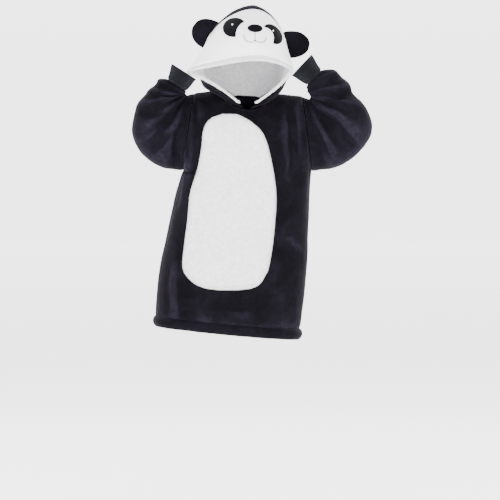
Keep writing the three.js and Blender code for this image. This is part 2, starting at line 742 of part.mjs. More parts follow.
// Applique on the hood's face panel: an oval, less the circle that hollows it
function makeFaceMark(name) {
  const mark = faceMarks[name];
  const radius = mark.hollowRadius;
  let outline = prismOf(ovalOutline(mark.x, mark.z, mark.halfWidth, mark.halfHeight, mark.turn));
  if (radius > 0) {
    outline = outline.subtract(prismOf(ovalOutline(mark.hollowX, mark.hollowZ, radius, radius, 0)));
  }
  const layer = layerOn(hoodGrid.slice(0, crownRow + 1), restGap, restGap + appliqueWall);
  addPiece(name, "mark", geometryOf(layer.intersect(outline)));
}

// Stuffed ear: rings from inside the crown seam out to its rounded tip, then cut off just over the hood
function makeEar(name) {
  const ear = ears[name];
  const positions = [];
  for (let ring = 0; ring <= earRings; ring += 1) {
    const up = Math.sin((Math.PI / 2) * earTip * (ring / earRings));
    const width = ear.halfWidth * Math.sqrt(1 - up * up) * (1 + earFlare * up);
    const filling = THREE.MathUtils.lerp(earFilling.root, earFilling.tip, up);
    const thickness = ear.halfThickness * (1 - up * up) ** earEdge * filling;
    for (let side = 0; side < earSides; side += 1) {
      const angle = (2 * Math.PI * side) / earSides;
      positions.push(width * Math.cos(angle), thickness * Math.sin(angle), ear.reach * up);
    }
  }
  const base = positions.length / 3;
  positions.push(0, 0, 0, 0, 0, ear.reach);
  const faces = [];
  for (let side = 0; side < earSides; side += 1) {
    const next = (side + 1) % earSides;
    faces.push(base, next, side);
    faces.push(base + 1, earRings * earSides + side, earRings * earSides + next);
    for (let ring = 0; ring < earRings; ring += 1) {
      const [a, b] = [ring * earSides + side, ring * earSides + next];
      const [c, d] = [a + earSides, b + earSides];
      faces.push(a, b, d, a, d, c);
    }
  }
  const radians = THREE.MathUtils.degToRad;
  const pose = new THREE.Matrix4()
    .makeRotationFromEuler(new THREE.Euler(radians(ear.lean), radians(-ear.turn), 0, "YXZ"))
    .setPosition(ear.x, ear.y, ear.z);
  const whole = solidOf(solidGeometry(positions, faces).applyMatrix4(pose));
  addPiece(name, "plush", geometryOf(whole.subtract(layerOn(hoodGrid, -earRoot, restGap))));
}

makeBodyPanel("front");
makeBodyPanel("back");
makeHemBand();
for (const side of ["left", "right"]) {
  makeSleeve(side);
  makeCuff(side);
}
makeHoodOuter();
makeHoodLining();
makeBellyPatch();
for (const name of Object.keys(faceMarks)) makeFaceMark(name);
for (const name of Object.keys(ears)) makeEar(name);

export default garment;
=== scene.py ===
"""A child's hooded plush blanket pullover with a panda's face on its hood, filled out as it is worn."""

import math
from collections import namedtuple

import bmesh
import bpy
import numpy as np
from bpy.props import FloatProperty, FloatVectorProperty, IntProperty, PointerProperty
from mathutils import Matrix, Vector, noise
from mathutils.bvhtree import BVHTree
from mathutils.kdtree import KDTree


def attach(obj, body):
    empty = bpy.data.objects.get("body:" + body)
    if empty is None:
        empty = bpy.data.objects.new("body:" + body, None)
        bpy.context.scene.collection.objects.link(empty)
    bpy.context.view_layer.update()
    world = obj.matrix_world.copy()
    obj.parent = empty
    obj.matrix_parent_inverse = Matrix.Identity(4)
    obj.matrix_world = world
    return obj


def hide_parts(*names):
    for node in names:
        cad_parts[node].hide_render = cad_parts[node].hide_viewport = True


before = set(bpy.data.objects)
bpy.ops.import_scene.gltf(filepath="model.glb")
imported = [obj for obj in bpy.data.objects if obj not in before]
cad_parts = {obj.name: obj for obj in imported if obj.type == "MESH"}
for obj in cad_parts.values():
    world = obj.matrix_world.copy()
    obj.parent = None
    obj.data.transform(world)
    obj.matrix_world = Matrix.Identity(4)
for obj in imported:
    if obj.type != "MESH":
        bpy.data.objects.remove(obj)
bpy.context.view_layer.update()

bl_info = {
    "name": "Panda Blanket Pullover",
    "version": (1, 0, 0),
    "blender": (4, 5, 0),
    "location": "3D View > Sidebar > Pullover",
    "description": "Builds a hooded plush pullover on its packed frame",
    "category": "Object",
}

MM = 0.001
BODY = "root"
# Rounds of smoothing that leave a cloth's broad form, and the height over it at which a fold gets its full
# painted highlight
FOLD_SMOOTHING = 60
FOLD_HEIGHT = 0.0042
# The deepest that a crease may press the hood's outer cloth towards its lining
HOOD_TROUGH = 0.0006
# Width and height of the plush's own unevenness, and how near an edge it fades and the seam pulls in
PLUSH_LUMPS = [(0.045, 0.0016), (0.014, 0.0006)]
EDGE_FADE = 0.012
SEAM_WIDTH = 0.005
# Gap between a piece and what it lies on
LYING_GAP = 0.0003
# How far in from the edge a patch is stitched down, in millimetres
PATCH_INSET = 1.3

# Under its height and behind its y, a foot's strip of cloth reaches behind the next piece and closes the
# seam.
Foot = namedtuple("Foot", "height behind reach depth")
HOOD_FOOT = Foot(0.05, -0.06, 0.022, 0.0024)
LINING_FOOT = Foot(0.05, -0.06, 0.006, -0.0012)
BODY_FOOT = Foot(-0.48, -1.0, 0.006, 0.0024)

# A sheet of cloth as it is cut, in metres and square metres: width, length and area of the cut, how it is
# held and what it lies on or hangs from. Tubes are given all round. No sheet is listed with it and nothing
# uses it.
Cut = namedtuple("Cut", "width length area held rests_on")

# A soft ridge (positive height) or trough (negative) along points of a piece, in millimetres
Crease = namedtuple("Crease", "width height points")

BODY_CREASES = {
    "front": [
        Crease(9, -5, [(-128, -60, 20), (-118, -92, -60), (-112, -100, -150)]),
        Crease(8, 4, [(-142, -52, -60), (-134, -78, -140), (-146, -70, -230)]),
        Crease(10, -5, [(104, -74, 14), (108, -88, -60), (104, -96, -165)]),
        Crease(8, 4, [(122, -62, 6), (126, -76, -70), (124, -84, -150)]),
        Crease(7, -4, [(140, -52, -40), (138, -66, -110), (148, -52, -170)]),
        Crease(11, -4, [(66, -110, -330), (104, -100, -348), (142, -60, -384)]),
        Crease(9, 3, [(84, -108, -300), (118, -92, -322), (148, -50, -350)]),
        Crease(12, -4, [(90, -108, -400), (112, -94, -440), (124, -84, -500)]),
        Crease(7, -2.5, [(-76, -118, -462), (-40, -120, -468), (-8, -118, -482)]),
        Crease(6, 2.5, [(-60, -118, -480), (-20, -120, -490), (30, -116, -496)]),
        Crease(11, 5, [(-156, -70, -360), (-160, -68, -430), (-158, -70, -508)]),
        Crease(9, -6, [(-142, -86, -372), (-144, -86, -440), (-143, -86, -515)]),
        Crease(6, -3, [(36, -84, -18), (66, -76, 0), (92, -60, 22)]),
        Crease(5, -2.5, [(44, -88, -30), (80, -78, -14), (108, -60, 12)]),
        Crease(8, -3, [(-60, -84, -6), (-84, -72, 6), (-104, -56, 24)]),
    ],
    "back": [
        Crease(12, -5, [(-60, 92, -30), (-76, 100, -140), (-96, 100, -300)]),
        Crease(10, 4, [(-96, 76, -20), (-112, 84, -120), (-128, 82, -260)]),
        Crease(13, -5, [(40, 96, -40), (34, 108, -200), (18, 112, -380)]),
        Crease(9, 4, [(84, 84, -30), (92, 92, -130), (98, 92, -270)]),
        Crease(8, -4, [(116, 64, 0), (122, 70, -90), (126, 70, -170)]),
        Crease(10, -4, [(-20, 112, -300), (-34, 114, -400), (-44, 112, -500)]),
        Crease(9, 3.5, [(66, 104, -330), (74, 104, -420), (70, 104, -500)]),
        Crease(7, -3, [(-130, 78, -400), (-90, 100, -440), (-30, 112, -452)]),
        Crease(7, -3, [(-46, 66, 16), (0, 80, 0), (50, 68, 14)]),
    ],
}

# Folds of the hood back, the sleeves and the hem band
OTHER_CREASES = {
    "hood_back": [
        Crease(9, -5, [(-30, 92, 60), (-10, 104, 78), (30, 98, 70)]),
        Crease(8, 4, [(-44, 88, 84), (0, 108, 98), (46, 96, 92)]),
        Crease(9, -4, [(-84, 40, 40), (-98, 10, 70), (-102, -30, 90)]),
        Crease(9, -4, [(86, 44, 40), (98, 14, 66), (100, -26, 84)]),
        Crease(7, -4, [(60, -70, 14), (84, -40, 30), (88, 0, 34)]),
        Crease(7, -4, [(-56, -70, 16), (-90, -36, 36), (-92, 4, 40)]),
    ],
    "hood_face": [
        Crease(12, -2, [(-52, -100, 160), (-76, -106, 132), (-104, -112, 104)]),
        Crease(10, -1.6, [(84, -96, 150), (96, -104, 124), (104, -110, 102)]),
        Crease(14, 1.4, [(-20, -132, 152), (22, -140, 140), (58, -134, 142)]),
    ],
    "sleeve_right": [
        Crease(6, -4, [(-152, -130, 40), (-186, -122, 46), (-222, -80, 38)]),
        Crease(6, 3, [(-150, -126, 26), (-190, -118, 26), (-236, -72, 18)]),
        Crease(7, -5, [(-176, -112, -22), (-214, -110, -18), (-258, -60, -12)]),
        Crease(8, -5, [(-168, -80, -60), (-202, -90, -92), (-236, -70, -128)]),
        Crease(7, 4, [(-164, -84, -44), (-210, -96, -66), (-262, -60, -84)]),
        Crease(6, -4, [(-160, -70, -40), (-162, -78, -90), (-160, -60, -140)]),
        Crease(8, -4, [(-190, 40, -20), (-230, 30, -50), (-262, 0, -80)]),
        Crease(8, -4, [(-170, 58, -40), (-196, 56, -80), (-214, 40, -120)]),
    ],
    "sleeve_left": [
        Crease(6, -4, [(156, -132, 56), (196, -122, 66), (232, -80, 66)]),
        Crease(7, -5, [(190, -116, -6), (222, -110, 20), (246, -80, 48)]),
        Crease(6, 3, [(170, -118, 14), (210, -112, 34), (250, -72, 42)]),
        Crease(9, 5, [(172, -84, 0), (224, -100, -18), (262, -84, -70)]),
        Crease(9, -5, [(176, -86, -24), (216, -96, -46), (262, -76, -96)]),
        Crease(7, -4, [(170, -76, -50), (186, -84, -100), (214, -60, -142)]),
        Crease(8, -4, [(200, 44, -20), (246, 34, -50), (288, 0, -76)]),
        Crease(8, -4, [(182, 58, -40), (204, 58, -90), (226, 40, -126)]),
    ],
    "hem_band": [
        Crease(7, -3, [(-100, -121, -522), (-98, -121, -550)]),
        Crease(6, -3, [(20, -128, -530), (22, -128, -560)]),
        Crease(8, -3, [(84, -116, -530), (84, -116, -562)]),
    ],
}

# Belly patch as it is seen from the front, in millimetres: height, and its left and right edges
BellyRow = namedtuple("BellyRow", "z left right")
BELLY_OUTLINE = [
    BellyRow(-435, -62, -16),
    BellyRow(-431, -92, 14),
    BellyRow(-422, -116, 33),
    BellyRow(-404, -136, 46),
    BellyRow(-380, -147, 56),
    BellyRow(-325, -142, 65),
    BellyRow(-265, -135, 71),
    BellyRow(-205, -129, 73),
    BellyRow(-150, -112, 66),
    BellyRow(-100, -102, 55),
    BellyRow(-64, -99, 41),
    BellyRow(-42, -91, 19),
    BellyRow(-29, -77, -2),
    BellyRow(-21, -54, -20),
]

# Marks of the face, as they are seen from the front, in millimetres and degrees: middle of an oval, its
# half sizes and turn, the middle and radius of the circle that hollows its side, a place inside that sees
# the whole edge, and how far the piece stands up
Mark = namedtuple(
    "Mark", "name x z half_width half_height turn hollow_x hollow_z hollow_radius heart_x heart_z height"
)
FACE_MARKS = [
    Mark("eye_patch_right", -25, 187, 28, 23, 13, 14, 168.5, 35.5, -36, 190, 1.9),
    Mark("eye_patch_left", 66, 171, 18, 28, 42, 43, 162, 25.5, 73, 177, 1.9),
    Mark("nose", 24, 184.5, 18, 9.3, -3, 0, 0, 0, 24, 184.5, 2.2),
]
EYE_DOTS = [
    Mark("eye_dot_right", -30, 194, 1.9, 2.3, 0, 0, 0, 0, -30, 194, 0.8),
    Mark("eye_dot_left", 67, 179, 1.7, 2.2, 0, 0, 0, 0, 67, 179, 0.8),
]
MOUTH_LINES = [
    [(24, 176), (24, 166), (24, 155)],
    [(-3, 168), (-1, 159), (5, 153), (14, 151), (20, 153), (24, 156)],
    [(24, 156), (29, 152.5), (37, 150.5), (45, 152), (49, 157), (50, 163)],
]

# Cuffs from the sleeve to the open end, in millimetres: inner point, outer point and depth of each end
CuffEnd = namedtuple("CuffEnd", "inner outer depth")
CUFFS = {
    "cuff_right": [
        CuffEnd((-139, -90, 37), (-184, -90, 66), 26),
        CuffEnd((-116, -103, 63), (-174, -103, 100), 29),
    ],
    "cuff_left": [
        CuffEnd((147, -90, 51), (181, -90, 87), 26),
        CuffEnd((112, -103, 72), (159, -103, 122), 29),
    ],
}


# Properties
COLOR = {"subtype": "COLOR", "size": 3, "min": 0, "max": 1}
LENGTH = {"subtype": "DISTANCE", "unit": "LENGTH"}


class PlushSettings(bpy.types.PropertyGroup):
    """Colours and surface of the dark plush and its knit."""

    plush_color: FloatVectorProperty(
        name="Plush", description="Colour in the folds of the dark plush", default=(0.0022, 0.0018, 0.003),
        **COLOR
    )
    # Lighter plush colour: real brushed patches, and the painted highlight on the ridges of the folds
    brushed_and_highlight_color: FloatVectorProperty(
        name="Brushed plush", description="Colour where the pile is brushed towards the light",
        default=(0.0125, 0.0102, 0.0178), **COLOR
    )
    knit_color: FloatVectorProperty(
        name="Rib knit", description="Colour of the cuffs", default=(0.0048, 0.0052, 0.0068), **COLOR
    )
    mark_color: FloatVectorProperty(
        name="Face marks", description="Colour of the eye patches, the nose and the mouth",
        default=(0.0026, 0.0026, 0.0034), **COLOR
    )
    wall: FloatProperty(
        name="Plush thickness", description="Thickness of the cloth with its pile", min=0.001, max=0.01,
        default=0.004, **LENGTH
    )
    seam_depth: FloatProperty(
        name="Seam depth", description="How far the cloth is pulled in at its seams", min=0, max=0.005,
        default=0.0009, **LENGTH
    )
    seam_allowance: FloatProperty(
        name="Seam allowance", description="How far the edge of each cloth is turned in at its seams",
        min=0, max=0.01, default=0.0026, **LENGTH
    )


class PileSettings(bpy.types.PropertyGroup):
    """Colours and curls of the white cloths."""

    sherpa_color: FloatVectorProperty(
        name="Sherpa", description="Colour on top of the curls", default=(0.84, 0.83, 0.84), **COLOR
    )
    sherpa_shade: FloatVectorProperty(
        name="Between the curls", description="Colour in the gaps between the curls",
        default=(0.66, 0.65, 0.67), **COLOR
    )
    face_color: FloatVectorProperty(
        name="Face plush", description="Colour of the hood's white face panel", default=(0.8, 0.79, 0.81),
        **COLOR
    )
    curl: FloatProperty(
        name="Curl height", description="How far the curls stand up", min=0, max=0.004, default=0.0013,
        **LENGTH
    )
    curl_size: FloatProperty(
        name="Curl size", description="Width of a curl", min=0.002, max=0.02, default=0.0062, **LENGTH
    )
    fibre: FloatProperty(
        name="Fibre length", description="Length of the loose fibres at the edges of the sherpa", min=0.001,
        max=0.01, default=0.003, **LENGTH
    )
    belly_height: FloatProperty(
        name="Belly patch height", description="How far the belly patch stands over the front", min=0.001,
        max=0.01, default=0.0046, **LENGTH
    )


class SewingSettings(bpy.types.PropertyGroup):
    """Stitches and knit ribs."""

    stitch_length: FloatProperty(
        name="Stitch length", description="Length of one stitch on the seams", min=0.001, max=0.01,
        default=0.0032, **LENGTH
    )
    stitch_step: FloatProperty(
        name="Stitch step", description="Distance from one stitch to the next", min=0.001, max=0.02,
        default=0.0044, **LENGTH
    )
    stitch_inset: FloatProperty(
        name="Stitch inset", description="Distance of the stitches from the edge of the cloth", min=0,
        max=0.01, default=0.0026, **LENGTH
    )
    thread: FloatProperty(
        name="Thread", description="Thickness of the thread", min=0.0002, max=0.003, default=0.0007,
        **LENGTH
    )
    rib_count: IntProperty(
        name="Cuff ribs", description="Ribs round each cuff", min=20, max=120, default=66
    )
    rib_height: FloatProperty(
        name="Rib height", description="Height of a cuff's rib", min=0, max=0.002, default=0.00055, **LENGTH
    )


SETTINGS = {"plush_look": PlushSettings, "pile_look": PileSettings, "sewing": SewingSettings}


# Shader groups and materials


SOCKET_KINDS = {tuple: "Color", float: "Float", int: "Int"}


class Graph:
    """Short way to add and join nodes of one tree. A node given as a value stands for its first output."""

    def __init__(self, tree):
        self.tree = tree

    def add(self, kind, values=(), **settings):
        node = self.tree.nodes.new(kind)
        for name, value in settings.items():
            setattr(node, name, value)
        for socket, value in dict(values).items():
            if isinstance(value, bpy.types.Node):
                value = value.outputs[0]
            if isinstance(value, bpy.types.NodeSocket):
                self.tree.links.new(value, node.inputs[socket])
            else:
                node.inputs[socket].default_value = value
        return node

    def math(self, operation, *values, **settings):
        return self.add("ShaderNodeMath", dict(enumerate(values)), operation=operation, **settings)

    def noise(self, place, scale, detail, **values):
        values = {
            "Vector": place, "Scale": scale, "Detail": detail, **{k.title(): v for k, v in values.items()}
        }
        return self.add("ShaderNodeTexNoise", values)

    def spread(self, value, from_min=0.0, from_max=1.0, to_min=0.0, to_max=1.0, **settings):
        """A value's range brought to another range."""
        ranges = {"From Min": from_min, "From Max": from_max, "To Min": to_min, "To Max": to_max}
        return self.add("ShaderNodeMapRange", {"Value": value, **ranges}, **settings)

    def mix(self, share, first, second):
        return self.add("ShaderNodeMixRGB", {0: share, 1: first, 2: second})

    def random(self, low, high, seed, kind="FLOAT_VECTOR"):
        node = self.add("FunctionNodeRandomValue", {"Min": low, "Max": high}, data_type=kind)
        node.inputs["Seed"].default_value = seed
        return node

    def put_out(self, **values):
        """Leads nodes to the tree's outputs."""
        out = self.add("NodeGroupOutput")
        for name, node in values.items():
            self.tree.links.new(node.outputs[0], out.inputs[name])


def new_tree(name, kind, inputs, outputs):
    """Node group with named inputs, each with its default or its kind, and named outputs with their kinds."""
    tree = bpy.data.node_groups.new(name, kind)
    for label, default in inputs.items():
        socket_kind = default if isinstance(default, str) else SOCKET_KINDS[type(default)]
        socket = tree.interface.new_socket(label, in_out="INPUT", socket_type="NodeSocket" + socket_kind)
        if socket_kind != default:
            socket.default_value = default
    for label, socket_kind in outputs.items():
        tree.interface.new_socket(label, in_out="OUTPUT", socket_type="NodeSocket" + socket_kind)
    graph = Graph(tree)
    return graph, graph.add("NodeGroupInput").outputs


def brushed_pile_and_highlight_group():
    """Colour, roughness and height of short pile that is brushed this way and that, with a painted highlight
    on the ridges of its folds.
    """
    dark, light = (0.01, 0.01, 0.01, 1), (0.03, 0.03, 0.03, 1)
    graph, given = new_tree(
        "brushed_pile", "ShaderNodeTree",
        {"Dark": dark, "Light": light, "Patch scale": 16.0, "Patchiness": 0.42, "Pile scale": 900.0},
        {"Color": "Color", "Roughness": "Float", "Height": "Float"}
    )
    place = graph.add("ShaderNodeTexCoord").outputs["Object"]
    patches = graph.noise(place, given["Patch scale"], 4.0, roughness=0.62, distortion=0.9)
    crumple = graph.noise(place, 110.0, 3.0, roughness=0.6)
    pile = graph.noise(place, given["Pile scale"], 2.0)
    brushed = graph.spread(patches, 0.4, 0.66)
    lively = graph.math("MULTIPLY", crumple, given["Patchiness"])
    patchy = graph.math("MULTIPLY", brushed, lively)
    # Painted highlight: the Light colour goes on the cloth where it stands over its broad form, by the fold
    # attribute
    stand = graph.add("ShaderNodeAttribute", attribute_name="fold").outputs["Fac"]
    ridge = graph.spread(stand, 0.05, 1.0, to_max=0.8, interpolation_type="SMOOTHSTEP")
    uneven = graph.spread(crumple, 0.3, 0.7, to_min=0.3)
    lit = graph.math("MULTIPLY", ridge, uneven)
    mask = graph.math("ADD", patchy, lit, use_clamp=True)
    fine = graph.math("MULTIPLY", pile, 0.28)
    graph.put_out(
        Color=graph.mix(mask, given["Dark"], given["Light"]),
        Roughness=graph.spread(crumple, to_min=0.72, to_max=0.95), Height=graph.math("ADD", crumple, fine)
    )


def curled_pile_group():
    """Colour and height of curly pile, with painted shade between its curls."""
    graph, given = new_tree(
        "curled_pile", "ShaderNodeTree",
        {"Top": (0.9, 0.9, 0.9, 1), "Gap": (0.6, 0.6, 0.6, 1), "Curl scale": 160.0},
        {"Color": "Color", "Height": "Float"}
    )
    place = graph.add("ShaderNodeTexCoord").outputs["Object"]
    bend = graph.noise(place, 140.0, 1.0).outputs["Color"]
    shift = graph.add("ShaderNodeVectorMath", {0: bend, 1: (0.009, 0.009, 0.009)}, operation="MULTIPLY")
    bent = graph.add("ShaderNodeVectorMath", {0: place, 1: shift}, operation="ADD")
    curls = graph.add(
        "ShaderNodeTexVoronoi", {"Vector": bent, "Scale": given["Curl scale"]}, feature="SMOOTH_F1"
    )
    fibres = graph.noise(place, 900.0, 2.0)
    top = graph.spread(curls, 0.62, 0.1)
    soft = graph.spread(graph.noise(place, 24.0, 2.0), 0.3, to_min=0.72)
    mask = graph.math("MULTIPLY", top, soft, use_clamp=True)
    fine = graph.math("MULTIPLY", fibres, 0.3)
    # Painted shade: the Gap colour fills the hollows between the curls, the Top colour lies on them
    graph.put_out(Color=graph.mix(mask, given["Gap"], given["Top"]), Height=graph.math("ADD", top, fine))


def knit_group():
    """Colour and height of small knit loops, along a piece's own map, with painted shade between the loops.
    """
    graph, given = new_tree(
        "knit_loops", "ShaderNodeTree", {"Yarn": (0.02, 0.02, 0.02, 1), "Columns": 66.0, "Rows": 16.0},
        {"Color": "Color", "Height": "Float"}
    )
    across, up, _ = graph.add(
        "ShaderNodeSeparateXYZ", {0: graph.add("ShaderNodeUVMap", uv_map="cloth")}
    ).outputs
    turn = graph.math("MULTIPLY", across, given["Columns"])
    lean = graph.math("COSINE", graph.math("MULTIPLY", turn, 2 * math.pi))
    slant = graph.math("MULTIPLY", lean, 0.35)
    rise = graph.math("MULTIPLY", up, given["Rows"])
    row = graph.math("ADD", rise, slant)
    loops = graph.math("SINE", graph.math("MULTIPLY", row, 2 * math.pi))
    raised = graph.spread(loops, -1.0)
    # Painted shade: the yarn at half its colour between the loops
    gap = graph.mix(0.5, given["Yarn"], (0, 0, 0, 1))
    graph.put_out(Color=graph.mix(raised, gap, given["Yarn"]), Height=raised)


def cloth_material(name, group, values, bump, distance, sheen, tint, roughness=None):
    """Cloth whose colour and relief come from a shader group, under a soft sheen."""
    material = bpy.data.materials.new(name)
    material.use_nodes = True
    graph = Graph(material.node_tree)
    shader = material.node_tree.nodes["Principled BSDF"]
    pattern = graph.add("ShaderNodeGroup", node_tree=bpy.data.node_groups[group])
    for socket, value in values.items():
        pattern.inputs[socket].default_value = value
    relief = graph.add(
        "ShaderNodeBump", {"Strength": bump, "Distance": distance, "Height": pattern.outputs["Height"]}
    )
    links = material.node_tree.links
    links.new(pattern.outputs["Color"], shader.inputs["Base Color"])
    links.new(relief.outputs[0], shader.inputs["Normal"])
    if roughness is None:
        links.new(pattern.outputs["Roughness"], shader.inputs["Roughness"])
    else:
        shader.inputs["Roughness"].default_value = roughness
    shader.inputs["Sheen Weight"].default_value = sheen
    shader.inputs["Sheen Roughness"].default_value = 0.38
    shader.inputs["Sheen Tint"].default_value = (*tint, 1)
    shader.inputs["Specular IOR Level"].default_value = 0.04
    return material


def brushed(dark, light, scale):
    """Values of brushed pile: colours in and on its folds, and how small its patches are."""
    return {"Dark": (*dark, 1), "Light": (*light, 1), "Patch scale": scale}


def make_materials(scene):
    """Makes the node trees and each cloth's material."""
    plush, pile = scene.plush_look, scene.pile_look
    for make in (brushed_pile_and_highlight_group, curled_pile_group, knit_group, stitch_tree, curl_tree, fibre_tree):
        make()
    shaded = [0.9 * part for part in pile.face_color]
    lighter = [2 * part for part in plush.mark_color]
    curls = {
        "Top": (*pile.sherpa_color, 1), "Gap": (*pile.sherpa_shade, 1), "Curl scale": 0.9 / pile.curl_size
    }
    loops = {"Yarn": (*plush.knit_color, 1), "Columns": float(scene.sewing.rib_count), "Rows": 18.0}
    Look = namedtuple("Look", "name group values bump distance sheen tint roughness", defaults=[None])
    for look in (
        Look(
            "dark_plush", "brushed_pile", brushed(plush.plush_color, plush.brushed_and_highlight_color, 16.0), 0.5,
            0.0022, 0.045, (0.6, 0.5, 0.74)
        ),
        Look(
            "white_plush", "brushed_pile", brushed(shaded, pile.face_color, 22.0), 0.35, 0.0016, 0.3,
            (1, 1, 1)
        ),
        Look("white_sherpa", "curled_pile", curls, 0.6, 0.0016, 0.35, (1, 1, 1), 0.95),
        Look(
            "white_fluff", "brushed_pile", brushed(pile.sherpa_color, pile.sherpa_color, 30.0), 0.1, 0.0005,
            0.4, (1, 1, 1)
        ),
        Look("cuff_knit", "knit_loops", loops, 0.5, 0.0006, 0.25, (0.7, 0.72, 0.85), 0.85),
        Look(
            "face_mark", "brushed_pile", brushed(plush.mark_color, lighter, 40.0), 0.3, 0.001, 0.05,
            (0.8, 0.8, 0.9)
        ),
        Look(
            "dark_thread", "brushed_pile", brushed((0.006, 0.005, 0.008), (0.016, 0.014, 0.02), 300.0), 0.2,
            0.0003, 0.3, (0.7, 0.7, 0.8)
        ),
        Look(
            "white_thread", "brushed_pile", brushed((0.7, 0.7, 0.72), (0.86, 0.86, 0.87), 300.0), 0.2,
            0.0003, 0.2, (1, 1, 1)
        )
    ):
        cloth_material(*look)


# Cloth shells


def material_of(name):
    return bpy.data.materials[name]


def mesh_from(bm, name):
    """Mesh of an edit mesh, which is freed."""
    mesh = bpy.data.meshes.new(name)
    bm.to_mesh(mesh)
    bm.free()
    return mesh


def point_tree(points):
    """Search tree over points."""
    tree = KDTree(len(points))
    for index, point in enumerate(points):
        tree.insert(point, index)
    tree.balance()
    return tree


def fit(piece, node=None):
    """Puts a piece on the body, in place of a node where it has one."""
    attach(piece, BODY)
    if node:
        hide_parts(node)
    return piece


def link_mesh(name, mesh, material):
    """Smooth-shaded piece of one material, at the origin."""
    piece = bpy.data.objects.new(name, mesh)
    bpy.context.scene.collection.objects.link(piece)
    mesh.materials.clear()
    mesh.materials.append(material_of(material))
    mesh.polygons.foreach_set("use_smooth", [True] * len(mesh.polygons))
    return piece


def bake(piece):
    """Applies a piece's modifiers by turning its evaluated form into its mesh."""
    graph = bpy.context.evaluated_depsgraph_get()
    mesh = bpy.data.meshes.new_from_object(piece.evaluated_get(graph))
    piece.modifiers.clear()
    old = piece.data
    piece.data = mesh
    bpy.data.meshes.remove(old)
    return piece


def smooth_angle_groups(bm, angle):
    """Groups of faces that are joined across edges flatter than an angle, largest first."""
    left = set(bm.faces)
    groups = []
    while left:
        stack = [left.pop()]
        group = list(stack)
        while stack:
            face = stack.pop()
            for edge in face.edges:
                if len(edge.link_faces) != 2 or edge.calc_face_angle() > angle:
                    continue
                for other in edge.link_faces:
                    if other in left:
                        left.discard(other)
                        group.append(other)
                        stack.append(other)
        groups.append(group)
    return sorted(groups, key=lambda faces: -sum(face.calc_area() for face in faces))


def skin_of(node, side="outer", angle=58):
    """One side of a wall node as a mesh of mostly quads: its outer or its inner faces."""
    bm = bmesh.new()
    bm.from_mesh(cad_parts[node].data)
    bmesh.ops.remove_doubles(bm, verts=bm.verts, dist=0.00002)
    groups = smooth_angle_groups(bm, math.radians(angle))[:2]
    middle = sum(
        (face.calc_center_median() * face.calc_area() for face in bm.faces), Vector()
    ) / sum(face.calc_area() for face in bm.faces)
    flux = [
        sum((face.calc_center_median() - middle).dot(face.normal) * face.calc_area() for face in group)
        for group in groups
    ]
    outer = flux.index(max(flux))
    kept = set(groups[outer if side == "outer" else 1 - outer])
    bmesh.ops.delete(bm, geom=[face for face in bm.faces if face not in kept], context="FACES")
    bmesh.ops.join_triangles(
        bm, faces=bm.faces, angle_face_threshold=math.pi, angle_shape_threshold=math.pi
    )
    return mesh_from(bm, node)


def subdivide(piece, levels):
    """Makes a skin finer and rounder, with its corners kept."""
    modifier = piece.modifiers.new("finer", "SUBSURF")
    modifier.levels = modifier.render_levels = levels
    modifier.boundary_smooth = "PRESERVE_CORNERS"
    return bake(piece)


def mesh_arrays(mesh):
    """Places and normals of a mesh's points."""
    count = len(mesh.vertices)
    places, normals = np.empty(3 * count), np.empty(3 * count)
    mesh.vertices.foreach_get("co", places)
    mesh.vertex_normals.foreach_get("vector", normals)
    return places.reshape(-1, 3), normals.reshape(-1, 3)


def put_places(mesh, places):
    mesh.vertices.foreach_set("co", places.ravel())
    mesh.update()


def rim_points(mesh):
    """Points of the open edges of a skin."""
    bm = bmesh.new()
    bm.from_mesh(mesh)
    points = [vertex.co.copy() for vertex in bm.verts if vertex.is_boundary]
    bm.free()
    return points


def distances_to(points, places):
    """Distance of each place to the nearest of some points."""
    tree = point_tree(points)
    return np.array([tree.find(place)[2] for place in places])


def crease_lift(places, creases):
    """How far each point is lifted by a table of creases."""
    lift = np.zeros(len(places))
    for crease in creases:
        line = np.array(crease.points) * MM
        steps = np.linalg.norm(np.diff(line, axis=0), axis=1)
        start = np.concatenate([[0], np.cumsum(steps)])
        best = np.full(len(places), 1e9)
        share = np.zeros(len(places))
        for index, step in enumerate(steps):
            along = line[index + 1] - line[index]
            t = np.clip(((places - line[index]) @ along) / (step * step), 0, 1)
            distance = np.linalg.norm(places - (line[index] + t[:, None] * along), axis=1)
            nearer = distance < best
            best[nearer] = distance[nearer]
            share[nearer] = ((start[index] + t * step) / start[-1])[nearer]
        taper = np.sin(np.pi * np.clip(0.08 + 0.84 * share, 0, 1)) ** 0.8
        lift += crease.height * MM * taper * np.exp(-((best / (crease.width * MM)) ** 2))
    return lift


def snap_creases(creases, mesh):
    """Creases with their points moved onto the nearest place of a mesh."""
    bm = bmesh.new()
    bm.from_mesh(mesh)
    tree = BVHTree.FromBMesh(bm)
    bm.free()
    snapped = []
    for crease in creases:
        points = []
        for first, second in zip(crease.points, crease.points[1:]):
            for step in range(6):
                point = Vector(first).lerp(Vector(second), step / 6) * MM
                points.append(tree.find_nearest(point)[0] / MM)
        points.append(tree.find_nearest(Vector(crease.points[-1]) * MM)[0] / MM)
        snapped.append(Crease(crease.width, crease.height, [tuple(point) for point in points]))
    return snapped


def soft_lumps(places, size, height):
    """Uneven stand of thick pile: slow rises and falls of a given width."""
    return np.array([noise.noise(Vector(place) / size) * height for place in places])


def curl_lift(places, size, height):
    """Curls of sherpa: rounded heads with narrow gaps between them."""
    lift = np.empty(len(places))
    for index, place in enumerate(places):
        spot = Vector(place)
        bent = spot / size + 0.55 * noise.noise_vector(spot * (0.7 / size))
        near = noise.voronoi(bent)[0]
        lift[index] = min(1.0, 2.2 * (near[1] - near[0])) * (0.6 + 0.4 * noise.noise(spot * (0.5 / size)))
    return height * lift


